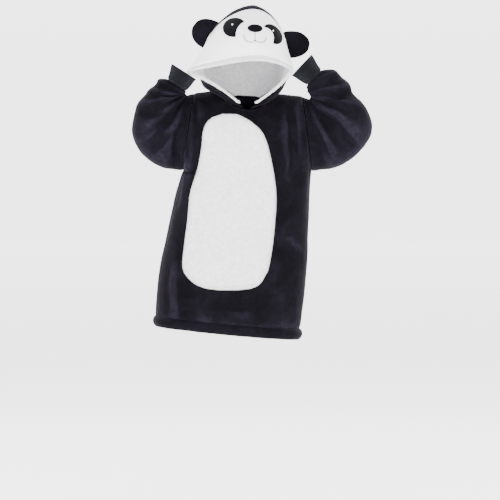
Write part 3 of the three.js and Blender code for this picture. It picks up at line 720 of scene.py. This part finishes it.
def rim_line(name, mesh, inset, stand):
    """The open edges of a cloth as lines, moved in from its edge and out from its surface."""
    bm = bmesh.new()
    bm.from_mesh(mesh)
    moved = {}
    for edge in bm.edges:
        if not edge.is_boundary:
            continue
        face = edge.link_faces[0]
        inward = face.calc_center_median() - (edge.verts[0].co + edge.verts[1].co) / 2
        along = (edge.verts[1].co - edge.verts[0].co).normalized()
        inward -= inward.dot(along) * along
        for vertex in edge.verts:
            moved.setdefault(vertex, Vector())
            moved[vertex] += inward.normalized()
    points, numbers, edges = [], {}, []
    for vertex, inward in moved.items():
        numbers[vertex] = len(points)
        points.append(vertex.co + inset * inward.normalized() + stand * vertex.normal)
    for edge in bm.edges:
        if edge.is_boundary:
            edges.append(tuple(numbers[vertex] for vertex in edge.verts))
    bm.free()
    line = bpy.data.meshes.new(name)
    line.from_pydata(points, edges, [])
    return line


def turn_in_edges(mesh, depth, foot=None):
    """Folds a narrow strip of the cloth in along its open edges, as a seam allowance lies."""
    bm = bmesh.new()
    bm.from_mesh(mesh)
    rim = [edge for edge in bm.edges if edge.is_boundary]
    outward = {}
    for edge in rim:
        face = edge.link_faces[0]
        middle = (edge.verts[0].co + edge.verts[1].co) / 2
        side = (edge.verts[1].co - edge.verts[0].co).cross(face.normal).normalized()
        if side.dot(middle - face.calc_center_median()) < 0:
            side.negate()
        for vertex in edge.verts:
            outward.setdefault(vertex, Vector())
            outward[vertex] += side
    normals = {vertex: vertex.normal.copy() for vertex in outward}
    made = bmesh.ops.extrude_edge_only(bm, edges=rim)["geom"]
    for vertex in [item for item in made if isinstance(item, bmesh.types.BMVert)]:
        old = next(
            edge.other_vert(vertex) for edge in vertex.link_edges if edge.other_vert(vertex) in outward
        )
        reach, sink, way = 0.7 * depth, depth, outward[old].normalized()
        if foot and vertex.co.z < foot.height and vertex.co.y > foot.behind:
            reach, sink, way = foot.reach, foot.depth, (way + Vector((0, 0, -1))).normalized()
        vertex.co += reach * way - sink * normals[old]
    bm.to_mesh(mesh)
    bm.free()
    mesh.update()


def mark_folds(mesh):
    """Writes how far each point stands over (1) or under (-1) the broad form round it, which the plush's
    shader paints as a highlight on ridges.
    """
    places, normals = mesh_arrays(mesh)
    edges = np.empty(2 * len(mesh.edges), int)
    mesh.edges.foreach_get("vertices", edges)
    first, second = edges.reshape(-1, 2).T
    count = np.bincount(edges, minlength=len(places))[:, None]
    broad = places
    for _ in range(FOLD_SMOOTHING):
        total = np.zeros_like(broad)
        np.add.at(total, first, broad[second])
        np.add.at(total, second, broad[first])
        broad = 0.5 * broad + 0.5 * total / count
    stand = ((places - broad) * normals).sum(axis=1)
    stand -= np.median(stand)
    share = np.clip(stand / FOLD_HEIGHT, -1, 1)
    mesh.attributes.new("fold", "FLOAT", "POINT").data.foreach_set("value", share)


def plush_shell(
    name, creases, levels, scene, slot="plush", material="dark_plush", thickness=None, side="outer",
    foot=None
):
    """Thin cloth on a wall node's own form, with creases, pulled-in seams and a little unevenness."""
    plush = scene.plush_look
    piece = link_mesh(name + "_cloth", skin_of(name, side), material)
    subdivide(piece, levels)
    mesh = piece.data
    rim = rim_points(mesh)
    places, normals = mesh_arrays(mesh)
    to_rim = distances_to(rim, places)
    lift = crease_lift(places, snap_creases(creases, mesh))
    for width, height in PLUSH_LUMPS:
        lift += soft_lumps(places, width, height)
    lift *= np.clip(to_rim / EDGE_FADE, 0, 1)
    if name.startswith("hood"):
        lift = np.maximum(lift, -HOOD_TROUGH)
    lift -= plush.seam_depth * np.exp(-((to_rim / SEAM_WIDTH) ** 2))
    put_places(mesh, places + lift[:, None] * normals)
    sewing = scene.sewing
    rim_line(name + "_rim", mesh, sewing.stitch_inset, 0.3 * sewing.thread)
    mark_folds(mesh)
    turn_in_edges(mesh, plush.seam_allowance, foot)
    wall = piece.modifiers.new("wall", "SOLIDIFY")
    wall.thickness = thickness or plush.wall
    wall.offset = -1
    bake(piece)
    piece.data.set_sharp_from_angle(angle=math.radians(60))
    return fit(piece, name)


# Operators


class PULLOVER_OT_panels(bpy.types.Operator):
    """Front, back and hem band."""

    bl_idname = "pullover.panels"
    bl_label = "Front, back and hem"

    def execute(self, context):
        scene = context.scene
        for node in ("front", "back"):
            plush_shell(node, BODY_CREASES[node], 2, scene, foot=BODY_FOOT)
        plush_shell("hem_band", OTHER_CREASES["hem_band"], 2, scene)
        return {"FINISHED"}


class PULLOVER_OT_sleeves(bpy.types.Operator):
    """Both sleeves, filled out and bent."""

    bl_idname = "pullover.sleeves"
    bl_label = "Sleeves"

    def execute(self, context):
        for node in ("sleeve_left", "sleeve_right"):
            plush_shell(node, OTHER_CREASES[node], 2, context.scene)
        return {"FINISHED"}


class PULLOVER_OT_hood(bpy.types.Operator):
    """Face panel, back and lining of the hood."""

    bl_idname = "pullover.hood"
    bl_label = "Hood"

    def execute(self, context):
        scene = context.scene
        thin = 0.4 * scene.plush_look.wall
        plush_shell("hood_back", OTHER_CREASES["hood_back"], 2, scene, thickness=thin, foot=HOOD_FOOT)
        face, white = OTHER_CREASES["hood_face"], "white_plush"
        plush_shell("hood_face", face, 3, scene, slot=white, material=white, thickness=thin)
        sherpa = {"slot": "sherpa", "material": "white_sherpa"}
        plush_shell("hood_lining", [], 3, scene, side="inner", foot=LINING_FOOT, **sherpa)
        return {"FINISHED"}


# Pads, knit and stitches


def tree_of(*names):
    """Search tree over the surfaces of finished pieces."""
    bm = bmesh.new()
    for name in names:
        bm.from_mesh(bpy.data.objects[name].data)
    tree = BVHTree.FromBMesh(bm)
    bm.free()
    return tree


def seen_on(tree, x, z):
    """Point of a surface at a place seen from the front, in metres, or nothing."""
    return tree.ray_cast(Vector((x * MM, -0.6, z * MM)), Vector((0, 1, 0)))[0]


def grid_normals(points, ringed):
    """Outward directions of a grid of points, by its neighbours."""
    if ringed:
        across = np.roll(points, -1, axis=1) - np.roll(points, 1, axis=1)
    else:
        across = np.gradient(points, axis=1)
    down = np.gradient(points, axis=0)
    normals = np.cross(across, down)
    lengths = np.linalg.norm(normals, axis=2, keepdims=True)
    normals = normals / np.maximum(lengths, 1e-12)
    normals[normals[..., 1] > 0] *= -1
    return normals


def pad_on(name, tree, grid, outline, height, rounding, gap, material, ringed=False, relief=None):
    """Closed pad on a surface over a grid of places seen from the front, rounded down to its outline."""
    points = np.array([[seen_on(tree, x, z) for x, z in row] for row in grid], float)
    normals = grid_normals(points, ringed)
    if ringed:
        normals[0] = normals[1].mean(axis=0)
    edge = point_tree([(x * MM, 0, z * MM) for x, z in outline])
    distance = np.array([[edge.find((x * MM, 0, z * MM))[2] for x, z in row] for row in grid])
    distance[-1] = 0
    if not ringed:
        distance[0] = distance[:, 0] = distance[:, -1] = 0
    share = np.clip(distance / rounding, 0, 1)
    lift = height * np.sqrt(1 - (1 - share) ** 2)
    if relief:
        lift = lift + relief(points, distance)
    top = points + normals * (gap + lift)[..., None]
    bottom = points + normals * gap
    rows, columns = distance.shape
    bm = bmesh.new()
    layers = []
    for layer in (top, bottom):
        layers.append([[bm.verts.new(layer[r, c]) for c in range(columns)] for r in range(rows)])
    last = columns if ringed else columns - 1
    for r in range(rows - 1):
        for c in range(last):
            n = (c + 1) % columns
            for turned, layer in enumerate(layers):
                corners = [layer[r][c], layer[r][n], layer[r + 1][n], layer[r + 1][c]]
                bm.faces.new(corners[::-1] if turned else corners)
    bmesh.ops.remove_doubles(bm, verts=bm.verts, dist=0.000004)
    bmesh.ops.recalc_face_normals(bm, faces=bm.faces)
    return link_mesh(name, mesh_from(bm, name), material)


def smooth_column(rows, key, place):
    """Value of a column between the rows of a table, on a smooth curve."""
    last = len(rows) - 1
    row = min(last - 1, max(0, int(place)))
    share = place - row
    value = lambda index: getattr(rows[min(last, max(0, index))], key)
    before = value(row - 1) if row else 2 * value(0) - value(1)
    after = value(row + 2) if row + 2 <= last else 2 * value(last) - value(last - 1)
    start, end = value(row), value(row + 1)
    square, cube = share**2, share**3
    return (
        (2 * cube - 3 * square + 1) * start
        + (cube - 2 * square + share) * (end - before) / 2
        + (3 * square - 2 * cube) * end
        + (cube - square) * (after - start) / 2
    )


def edge_reach(mark, across, up):
    """Distance from the heart of a mark to its edge along a direction, in millimetres."""
    turn = math.radians(mark.turn)
    cos, sin = math.cos(turn), math.sin(turn)
    off_x, off_z = mark.heart_x - mark.x, mark.heart_z - mark.z
    start = ((off_x * cos + off_z * sin) / mark.half_width, (off_z * cos - off_x * sin) / mark.half_height)
    step = ((across * cos + up * sin) / mark.half_width, (up * cos - across * sin) / mark.half_height)
    a = step[0] ** 2 + step[1] ** 2
    b = start[0] * step[0] + start[1] * step[1]
    c = start[0] ** 2 + start[1] ** 2 - 1
    reach = (math.sqrt(b * b - a * c) - b) / a
    off_x, off_z = mark.heart_x - mark.hollow_x, mark.heart_z - mark.hollow_z
    b = off_x * across + off_z * up
    inside = b * b - off_x**2 - off_z**2 + mark.hollow_radius**2
    if mark.hollow_radius and inside > 0 and b < 0:
        reach = min(reach, -b - math.sqrt(inside))
    return reach


def mark_pad(mark, tree, material, rings, sides, gap=LYING_GAP):
    """Flat rounded piece in a mark's outline, lying on a surface."""
    outline, rows = [], [[] for _ in range(rings + 1)]
    for side in range(sides):
        angle = 2 * math.pi * side / sides
        across, up = math.cos(angle), math.sin(angle)
        reach = edge_reach(mark, across, up)
        for ring, row in enumerate(rows):
            along = reach * (0.001 + 0.999 * ring / rings)
            row.append((mark.heart_x + along * across, mark.heart_z + along * up))
        outline.append(rows[-1][-1])
    height = mark.height * MM
    return pad_on(mark.name, tree, rows, outline, height, 1.6 * height, gap, material, ringed=True)


def set_out(graph, given, points, shape, turn, size):
    """Puts a shape on each point as plain mesh in the given material, and leads it out."""
    values = {"Points": points, "Instance": shape, "Rotation": turn, "Scale": size}
    real = graph.add("GeometryNodeRealizeInstances", {0: graph.add("GeometryNodeInstanceOnPoints", values)})
    graph.put_out(Made=graph.add("GeometryNodeSetMaterial", {0: real, "Material": given["Material"]}))


def stitch_tree():
    """Stitches along a line: short rounded threads, one after another."""
    graph, given = new_tree(
        "stitch_run", "GeometryNodeTree",
        {
            "Line": "Geometry", "Stitch length": 0.003, "Stitch step": 0.004, "Thread": 0.0007,
            "Material": "Material"
        },
        {"Made": "Geometry"}
    )
    curve = graph.add("GeometryNodeMeshToCurve", {0: given["Line"]})
    even = graph.add(
        "GeometryNodeResampleCurve", {"Curve": curve, "Length": given["Stitch step"]}, mode="LENGTH"
    )
    along = graph.add("GeometryNodeInputTangent")
    turn = graph.add("FunctionNodeAlignRotationToVector", {"Vector": along}, axis="Z")
    bead = graph.add("GeometryNodeMeshUVSphere", {"Segments": 6, "Rings": 4, "Radius": 0.5})
    smooth = graph.add("GeometryNodeSetShadeSmooth", {0: bead})
    size = graph.add(
        "ShaderNodeCombineXYZ", {0: given["Thread"], 1: given["Thread"], 2: given["Stitch length"]}
    )
    set_out(graph, given, even, smooth, turn, size)


def curl_tree():
    """Curls of pile scattered over a surface."""
    graph, given = new_tree(
        "pile_curls", "GeometryNodeTree",
        {
            "Surface": "Geometry", "Spacing": 0.004, "Density": 60000.0, "Curl radius": 0.0022, "Seed": 3,
            "Material": "Material"
        },
        {"Made": "Geometry"}
    )
    points = graph.add(
        "GeometryNodeDistributePointsOnFaces",
        {
            "Mesh": given["Surface"], "Distance Min": given["Spacing"], "Density Max": given["Density"],
            "Seed": given["Seed"]
        },
        distribute_method="POISSON"
    )
    ball = graph.add("GeometryNodeMeshIcoSphere", {"Radius": given["Curl radius"], "Subdivisions": 1})
    smooth = graph.add("GeometryNodeSetShadeSmooth", {0: ball})
    turn = graph.random((0, 0, 0), (6.28, 6.28, 6.28), 11)
    size = graph.random((0.65, 0.65, 0.5), (1.35, 1.1, 0.9), 12)
    set_out(graph, given, points, smooth, turn, size)


def fibre_tree():
    """Short pile fibres standing up from a surface, each leaning a little its own way."""
    graph, given = new_tree(
        "pile_fibres", "GeometryNodeTree",
        {
            "Surface": "Geometry", "Density": 400000.0, "Fibre length": 0.004, "Fibre width": 0.0004,
            "Lean": 0.7, "Seed": 5, "Material": "Material"
        },
        {"Made": "Geometry"}
    )
    points = graph.add(
        "GeometryNodeDistributePointsOnFaces",
        {"Mesh": given["Surface"], "Density": given["Density"], "Seed": given["Seed"]},
        distribute_method="RANDOM"
    )
    size = {"Radius Top": 0.0, "Radius Bottom": given["Fibre width"], "Depth": given["Fibre length"]}
    spike = graph.add("GeometryNodeMeshCone", {"Vertices": 3, **size}, fill_type="NONE")
    back = graph.math("MULTIPLY", given["Lean"], -1.0)
    low = graph.add("ShaderNodeCombineXYZ", {0: back, 1: back, 2: -3.14})
    high = graph.add("ShaderNodeCombineXYZ", {0: given["Lean"], 1: given["Lean"], 2: 3.14})
    turned = graph.add("FunctionNodeEulerToRotation", {0: graph.random(low, high, 21)})
    aimed = graph.add(
        "FunctionNodeRotateRotation", {"Rotation": points.outputs["Rotation"], "Rotate By": turned},
        rotation_space="LOCAL"
    )
    set_out(graph, given, points, spike, aimed, graph.random(0.5, 1.1, 22, "FLOAT").outputs[1])


def part_of(name, wanted):
    """Faces of a finished piece whose middle a test accepts, as a mesh."""
    bm = bmesh.new()
    bm.from_mesh(bpy.data.objects[name].data)
    other = [face for face in bm.faces if not wanted(face.calc_center_median(), face.normal)]
    bmesh.ops.delete(bm, geom=other, context="FACES")
    return mesh_from(bm, name)


def grown(name, mesh, tree, values):
    """Mesh that a Geometry Nodes tree makes of another mesh."""
    piece = bpy.data.objects.new(name, mesh)
    bpy.context.scene.collection.objects.link(piece)
    modifier = piece.modifiers.new("grown", "NODES")
    modifier.node_group = bpy.data.node_groups[tree]
    items = modifier.node_group.interface.items_tree
    sockets = {item.name: item.identifier for item in items if item.in_out == "INPUT"}
    for label, value in values.items():
        modifier[sockets[label]] = value
    bake(piece)
    if not len(piece.data.polygons):
        raise RuntimeError(f"{name} came out empty")
    return piece


def stitched(name, lines, scene, material, thread=None, step=None, length=None):
    """Stitches along lines of points in metres."""
    sewing = scene.sewing
    mesh = bpy.data.meshes.new(name)
    points, edges = [], []
    for line in lines:
        edges += [(len(points) + i, len(points) + i + 1) for i in range(len(line) - 1)]
        points += [tuple(point) for point in line]
    mesh.from_pydata(points, edges, [])
    values = {
        "Stitch length": length or sewing.stitch_length, "Stitch step": step or sewing.stitch_step,
        "Thread": thread or sewing.thread, "Material": material_of(material)
    }
    return fit(grown(name, mesh, "stitch_run", values))


# The doubled knit: rows of its grid, thickness, how far it tucks into the sleeve, how square its opening is
# and how far it hangs loose
POINTS_A_RIB = 6
OUTSIDE_ROWS = 18
INSIDE_ROWS = 5
KNIT_WALL = 0.0024
CUFF_TUCK = 0.0046
CUFF_ROUNDNESS = 2.15
CUFF_SLACK = 0.0007


def knit_cuff(name, ends, scene):
    """Doubled rib knit from the sleeve's seam round the open end and back inside."""
    sewing = scene.sewing
    columns = POINTS_A_RIB * sewing.rib_count
    outside = [(-0.12 + 1.12 * row / OUTSIDE_ROWS, 0.0) for row in range(OUTSIDE_ROWS + 1)]
    turn = [(1.02, 0.16), (1.034, 0.38), (1.034, 0.62), (1.02, 0.84)]
    inside = [(1 - row / INSIDE_ROWS, 1.0) for row in range(INSIDE_ROWS + 1)]
    profile = outside + turn + inside
    first, last = ends
    bm = bmesh.new()
    uv = bm.loops.layers.uv.new("cloth")
    rings = []
    for along, depth in profile:
        tuck = CUFF_TUCK * min(1, max(0, (0.02 - along) / 0.05))
        inner_point = Vector(first.inner).lerp(Vector(last.inner), along) * MM
        outer_point = Vector(first.outer).lerp(Vector(last.outer), along) * MM
        forward = (first.depth + (last.depth - first.depth) * along) * MM
        middle = (inner_point + outer_point) / 2
        half = (inner_point - outer_point) / 2
        ring = []
        for column in range(columns):
            angle = 2 * math.pi * column / columns
            across = math.copysign(abs(math.cos(angle)) ** (2 / CUFF_ROUNDNESS), math.cos(angle))
            front = math.copysign(abs(math.sin(angle)) ** (2 / CUFF_ROUNDNESS), math.sin(angle))
            offset = half * across + Vector((0, -forward * front, 0))
            rib = sewing.rib_height * (0.5 - 0.5 * math.cos(sewing.rib_count * angle)) * (1 - depth)
            slack = CUFF_SLACK * math.sin(3 * angle + 5 * along) * math.sin(math.pi * min(1, max(0, along)))
            offset *= 1 + (slack - rib - tuck - depth * KNIT_WALL) / offset.length
            ring.append(bm.verts.new(middle + offset))
        rings.append(ring)
    for index, ring in enumerate(rings):
        after = rings[(index + 1) % len(rings)]
        for column in range(columns):
            n = (column + 1) % columns
            face = bm.faces.new((ring[column], ring[n], after[n], after[column]))
            v0, v1 = profile[index][0], profile[(index + 1) % len(rings)][0]
            u0, u1 = column / columns, (column + 1) / columns
            for loop, place in zip(face.loops, ((u0, v0), (u1, v0), (u1, v1), (u0, v1))):
                loop[uv].uv = place
    bmesh.ops.recalc_face_normals(bm, faces=bm.faces)
    return link_mesh(name + "_knit", mesh_from(bm, name), "cuff_knit")


class PULLOVER_OT_cuffs(bpy.types.Operator):
    """Ribbed cuffs."""

    bl_idname = "pullover.cuffs"
    bl_label = "Cuffs"

    def execute(self, context):
        for node, ends in CUFFS.items():
            fit(knit_cuff(node, ends, context.scene), node)
        return {"FINISHED"}


def belly_grid(rows, columns):
    """Places over the belly patch, as it is seen from the front, in millimetres."""
    grid = []
    for row in range(rows + 1):
        place = row / rows * (len(BELLY_OUTLINE) - 1)
        z, left, right = (smooth_column(BELLY_OUTLINE, key, place) for key in ("z", "left", "right"))
        grid.append([(left + (right - left) * column / columns, z) for column in range(columns + 1)])
    return grid


def outline_of(grid):
    """Places on the four sides of a grid."""
    return grid[0] + grid[-1] + [row[0] for row in grid] + [row[-1] for row in grid]


def belly_rim():
    """Search tree over the outline of the belly patch, seen from the front."""
    return point_tree([(x * MM, 0, z * MM) for x, z in outline_of(belly_grid(300, 60))])


class PULLOVER_OT_belly(bpy.types.Operator):
    """Oval sherpa patch on the front."""

    bl_idname = "pullover.belly"
    bl_label = "Belly patch"

    def execute(self, context):
        pile = context.scene.pile_look
        tree = tree_of("front_cloth")
        grid = belly_grid(210, 104)

        def relief(points, distance):
            flat = points.reshape(-1, 3)
            away = distance.ravel()
            curls = curl_lift(flat, pile.curl_size, pile.curl) + soft_lumps(flat, 0.03, 0.0009)
            low = np.clip((-0.34 - flat[:, 2]) / 0.05, 0, 1)
            seam = -0.0022 * low * np.exp(-(((away - 0.0085) / 0.0017) ** 2))
            return (curls * np.clip(away / 0.003, 0, 1) + seam).reshape(distance.shape)

        patch = pad_on(
            "belly_patch_sherpa", tree, grid, outline_of(grid), pile.belly_height, 1.3 * pile.belly_height,
            LYING_GAP, "white_sherpa", relief=relief
        )
        fit(patch, "belly_patch")
        return {"FINISHED"}


class PULLOVER_OT_face(bpy.types.Operator):
    """Eye patches with their light dots, nose and stitched mouth."""

    bl_idname = "pullover.face"
    bl_label = "Panda face"

    def execute(self, context):
        scene = context.scene
        tree = tree_of("hood_face_cloth", "hood_back_cloth", "hood_lining_cloth")
        for mark in FACE_MARKS:
            piece = mark_pad(mark._replace(name=mark.name + "_felt"), tree, "face_mark", 16, 120)
            fit(piece, mark.name)
        for dot, mark in zip(EYE_DOTS, FACE_MARKS):
            fit(mark_pad(dot, tree_of(mark.name + "_felt"), "white_thread", 6, 32, gap=0.00005))
        lines = []
        for corners in MOUTH_LINES:
            line = []
            for first, second in zip(corners, corners[1:]):
                for step in range(4):
                    x, z = (a + (b - a) * step / 4 for a, b in zip(first, second))
                    line.append(seen_on(tree, x, z) + Vector((0, -0.0004, 0.0002)))
            line.append(seen_on(tree, *corners[-1]) + Vector((0, -0.0004, 0.0002)))
            lines.append(line)
        stitched("mouth_stitches", lines, scene, "face_mark", thread=0.0017, step=0.0026, length=0.0036)
        return {"FINISHED"}


class PULLOVER_OT_stitches(bpy.types.Operator):
    """Rows of stitches beside the seams and round the eye patches and the nose."""

    bl_idname = "pullover.stitches"
    bl_label = "Stitches"

    def execute(self, context):
        sewing = context.scene.sewing
        threads = {"hood_face": "white_thread"}
        values = {
            "Stitch length": sewing.stitch_length, "Stitch step": sewing.stitch_step,
            "Thread": sewing.thread
        }
        for node in ("front", "back", "hem_band", "sleeve_left", "sleeve_right", "hood_back", "hood_face"):
            line = bpy.data.meshes[node + "_rim"]
            thread = material_of(threads.get(node, "dark_thread"))
            fit(grown(node + "_stitches", line, "stitch_run", {**values, "Material": thread}))
        for mark in FACE_MARKS:
            tree = tree_of(mark.name + "_felt")
            smaller = mark._replace(
                half_width=mark.half_width - PATCH_INSET, half_height=mark.half_height - PATCH_INSET,
                hollow_radius=mark.hollow_radius and mark.hollow_radius + PATCH_INSET
            )
            line = []
            for side in range(121):
                across, up = math.cos(math.radians(3 * side)), math.sin(math.radians(3 * side))
                reach = edge_reach(smaller, across, up)
                line.append(seen_on(tree, mark.heart_x + reach * across, mark.heart_z + reach * up))
            fine = {"thread": 0.0006, "step": 0.0017, "length": 0.0014}
            stitched(mark.name + "_stitches", [line], context.scene, "face_mark", **fine)
        return {"FINISHED"}


class PULLOVER_OT_ears(bpy.types.Operator):
    """Two stuffed ears with their edge seams."""

    bl_idname = "pullover.ears"
    bl_label = "Ears"

    def execute(self, context):
        for node in ("ear_right", "ear_left"):
            bm = bmesh.new()
            bm.from_mesh(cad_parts[node].data)
            bmesh.ops.remove_doubles(bm, verts=bm.verts, dist=0.00002)
            bmesh.ops.join_triangles(
                bm, faces=bm.faces, angle_face_threshold=math.radians(50),
                angle_shape_threshold=math.radians(60)
            )
            piece = link_mesh(node + "_plush", mesh_from(bm, node), "dark_plush")
            subdivide(piece, 2)
            places, normals = mesh_arrays(piece.data)
            middle = (places[:, 1].max() + places[:, 1].min()) / 2
            edge = np.exp(-(((places[:, 1] - middle) / 0.0016) ** 2)) * (1 - np.abs(normals[:, 1]))
            lift = soft_lumps(places, 0.016, 0.0009) - 0.0012 * edge
            put_places(piece.data, places + lift[:, None] * normals)
            fit(piece, node)
        return {"FINISHED"}


# Corners of the hood's brim in millimetres, and how far round it the lining's fibres grow
BRIM = [
    (-72, -93, 44), (-138, -112, 88), (-72, -132, 109), (17, -144, 123), (72, -135, 117), (116, -112, 91),
    (82, -90, 41)
]
BRIM_REACH = 0.016


def near_brim(place):
    """Whether a place is close to the line of the hood's brim."""
    for first, second in zip(BRIM, BRIM[1:]):
        start, end = Vector(first) * MM, Vector(second) * MM
        along = min(1, max(0, (place - start).dot(end - start) / (end - start).length_squared))
        if (place - start.lerp(end, along)).length < BRIM_REACH:
            return True
    return False


class PULLOVER_OT_pile(bpy.types.Operator):
    """Curls inside the hood, and loose fibres on the brim and round the belly patch."""

    bl_idname = "pullover.pile"
    bl_label = "Sherpa curls and fibres"

    def execute(self, context):
        pile = context.scene.pile_look
        curls = {
            "Spacing": 0.58 * pile.curl_size, "Density": 90000.0, "Curl radius": 0.36 * pile.curl_size,
            "Material": material_of("white_sherpa")
        }
        middle = Vector((-0.008, -0.02, 0.1))
        front = part_of(
            "hood_lining_cloth", lambda place,
            normal: place.y < -0.03 and (near_brim(place) or normal.dot(middle - place) > 0)
        )
        fibres = {
            "Fibre length": pile.fibre, "Fibre width": 0.1 * pile.fibre,
            "Material": material_of("white_fluff")
        }
        brim = part_of("hood_lining_cloth", lambda place, normal: near_brim(place))
        rim = belly_rim()
        edge = part_of(
            "belly_patch_sherpa", lambda place,
            normal: normal.y < 0.3 and rim.find((place.x, 0, place.z))[2] < 0.006
        )
        for name, mesh, tree, values in (
            ("lining_curls", front, "pile_curls", curls),
            ("brim_fibres", brim, "pile_fibres", {**fibres, "Density": 700000.0}),
            ("belly_fibres", edge, "pile_fibres", {**fibres, "Density": 1300000.0})
        ):
            fit(grown(name, mesh, tree, values))
        return {"FINISHED"}


# The floor, which bends up behind the pullover, and the camera's distance and height over what it looks at
FLOOR_HEIGHT = -0.936
FLOOR_REACH = 16.0
FLOOR_BACK = 14.0
FLOOR_BEND = 1.6
CAMERA_DISTANCE = 10.0
CAMERA_RISE = math.radians(2.5)


class PULLOVER_OT_stage(bpy.types.Operator):
    """Pale floor, soft studio lights and the camera."""

    bl_idname = "pullover.stage"
    bl_label = "Stage"

    def execute(self, context):
        scene = context.scene
        flat = [(-FLOOR_REACH, 0.0), (FLOOR_BACK, 0.0)]
        bend = [
            (FLOOR_BACK + FLOOR_BEND * math.sin(angle), FLOOR_BEND * (1 - math.cos(angle)))
            for angle in np.linspace(0.1, math.pi / 2, 14)
        ]
        profile = flat + bend + [(FLOOR_BACK + FLOOR_BEND, 9.0)]
        points = [(x, y, z + FLOOR_HEIGHT) for y, z in profile for x in (-FLOOR_REACH, FLOOR_REACH)]
        faces = [(2 * i, 2 * i + 1, 2 * i + 3, 2 * i + 2) for i in range(len(profile) - 1)]
        mesh = bpy.data.meshes.new("floor")
        mesh.from_pydata(points, [], faces)
        mesh.polygons.foreach_set("use_smooth", [True] * len(faces))
        floor = bpy.data.objects.new("floor", mesh)
        scene.collection.objects.link(floor)
        paint = bpy.data.materials.new("pale_floor")
        paint.use_nodes = True
        shader = paint.node_tree.nodes["Principled BSDF"]
        shader.inputs["Base Color"].default_value = (0.93, 0.93, 0.93, 1)
        shader.inputs["Roughness"].default_value = 0.9
        shader.inputs["Emission Color"].default_value = (1, 1, 1, 1)
        shader.inputs["Emission Strength"].default_value = 1.7
        mesh.materials.append(paint)
        world = bpy.data.worlds.new("studio")
        world.use_nodes = True
        world.node_tree.nodes["Background"].inputs["Color"].default_value = (1, 1, 1, 1)
        world.node_tree.nodes["Background"].inputs["Strength"].default_value = 1.5
        scene.world = world
        for name, place, aim, size, power in (
            ("key", (-1.7, -2.4, 1.5), (0, 0, -0.1), 1.5, 110),
            ("fill", (1.9, -2.6, 0.5), (0, 0, -0.2), 1.8, 60),
            ("front", (0.1, -2.9, -0.2), (0, 0, 0), 1.4, 60),
            ("rim_left", (-1.8, 1.4, 1.2), (0, 0, 0), 1.2, 60),
            ("rim_right", (1.9, 1.3, 1.2), (0, 0, 0), 1.2, 60)
        ):
            light = bpy.data.lights.new(name, "AREA")
            light.energy = power
            light.size = size
            lamp = bpy.data.objects.new(name, light)
            lamp.location = place
            lamp.rotation_euler = (Vector(aim) - Vector(place)).to_track_quat("-Z", "Y").to_euler()
            scene.collection.objects.link(lamp)
        camera = bpy.data.cameras.new("camera")
        camera.lens = 300
        camera.sensor_width = 36
        eye = bpy.data.objects.new("camera", camera)
        aim = Vector((0.012, 0, -0.346))
        eye.location = (aim.x, -CAMERA_DISTANCE, aim.z + CAMERA_DISTANCE * math.tan(CAMERA_RISE))
        eye.rotation_euler = (aim - eye.location).to_track_quat("-Z", "Y").to_euler()
        scene.collection.objects.link(eye)
        scene.camera = eye
        return {"FINISHED"}


OPERATORS = [
    PULLOVER_OT_panels, PULLOVER_OT_belly, PULLOVER_OT_sleeves, PULLOVER_OT_cuffs, PULLOVER_OT_hood,
    PULLOVER_OT_pile, PULLOVER_OT_face, PULLOVER_OT_stitches, PULLOVER_OT_ears, PULLOVER_OT_stage
]


class PULLOVER_PT_panel(bpy.types.Panel):
    """Lists the pieces and their settings."""

    bl_idname = "PULLOVER_PT_panel"
    bl_label = "Blanket pullover"
    bl_space_type = "VIEW_3D"
    bl_region_type = "UI"
    bl_category = "Pullover"

    def draw(self, context):
        layout = self.layout
        for name in SETTINGS:
            box = layout.box()
            group = getattr(context.scene, name)
            for key in group.bl_rna.properties.keys():
                if key not in ("rna_type", "name"):
                    box.prop(group, key)
        for operator in OPERATORS:
            layout.operator(operator.bl_idname)


def register():
    for group in SETTINGS.values():
        bpy.utils.register_class(group)
    for name, group in SETTINGS.items():
        setattr(bpy.types.Scene, name, PointerProperty(type=group))
    for operator in OPERATORS:
        bpy.utils.register_class(operator)
    bpy.utils.register_class(PULLOVER_PT_panel)


def unregister():
    bpy.utils.unregister_class(PULLOVER_PT_panel)
    for operator in reversed(OPERATORS):
        bpy.utils.unregister_class(operator)
    for name, group in SETTINGS.items():
        delattr(bpy.types.Scene, name)
        bpy.utils.unregister_class(group)


def main():
    register()
    make_materials(bpy.context.scene)
    for operator in OPERATORS:
        family, action = operator.bl_idname.split(".")
        getattr(getattr(bpy.ops, family), action)()


if __name__ == "__main__":
    main()
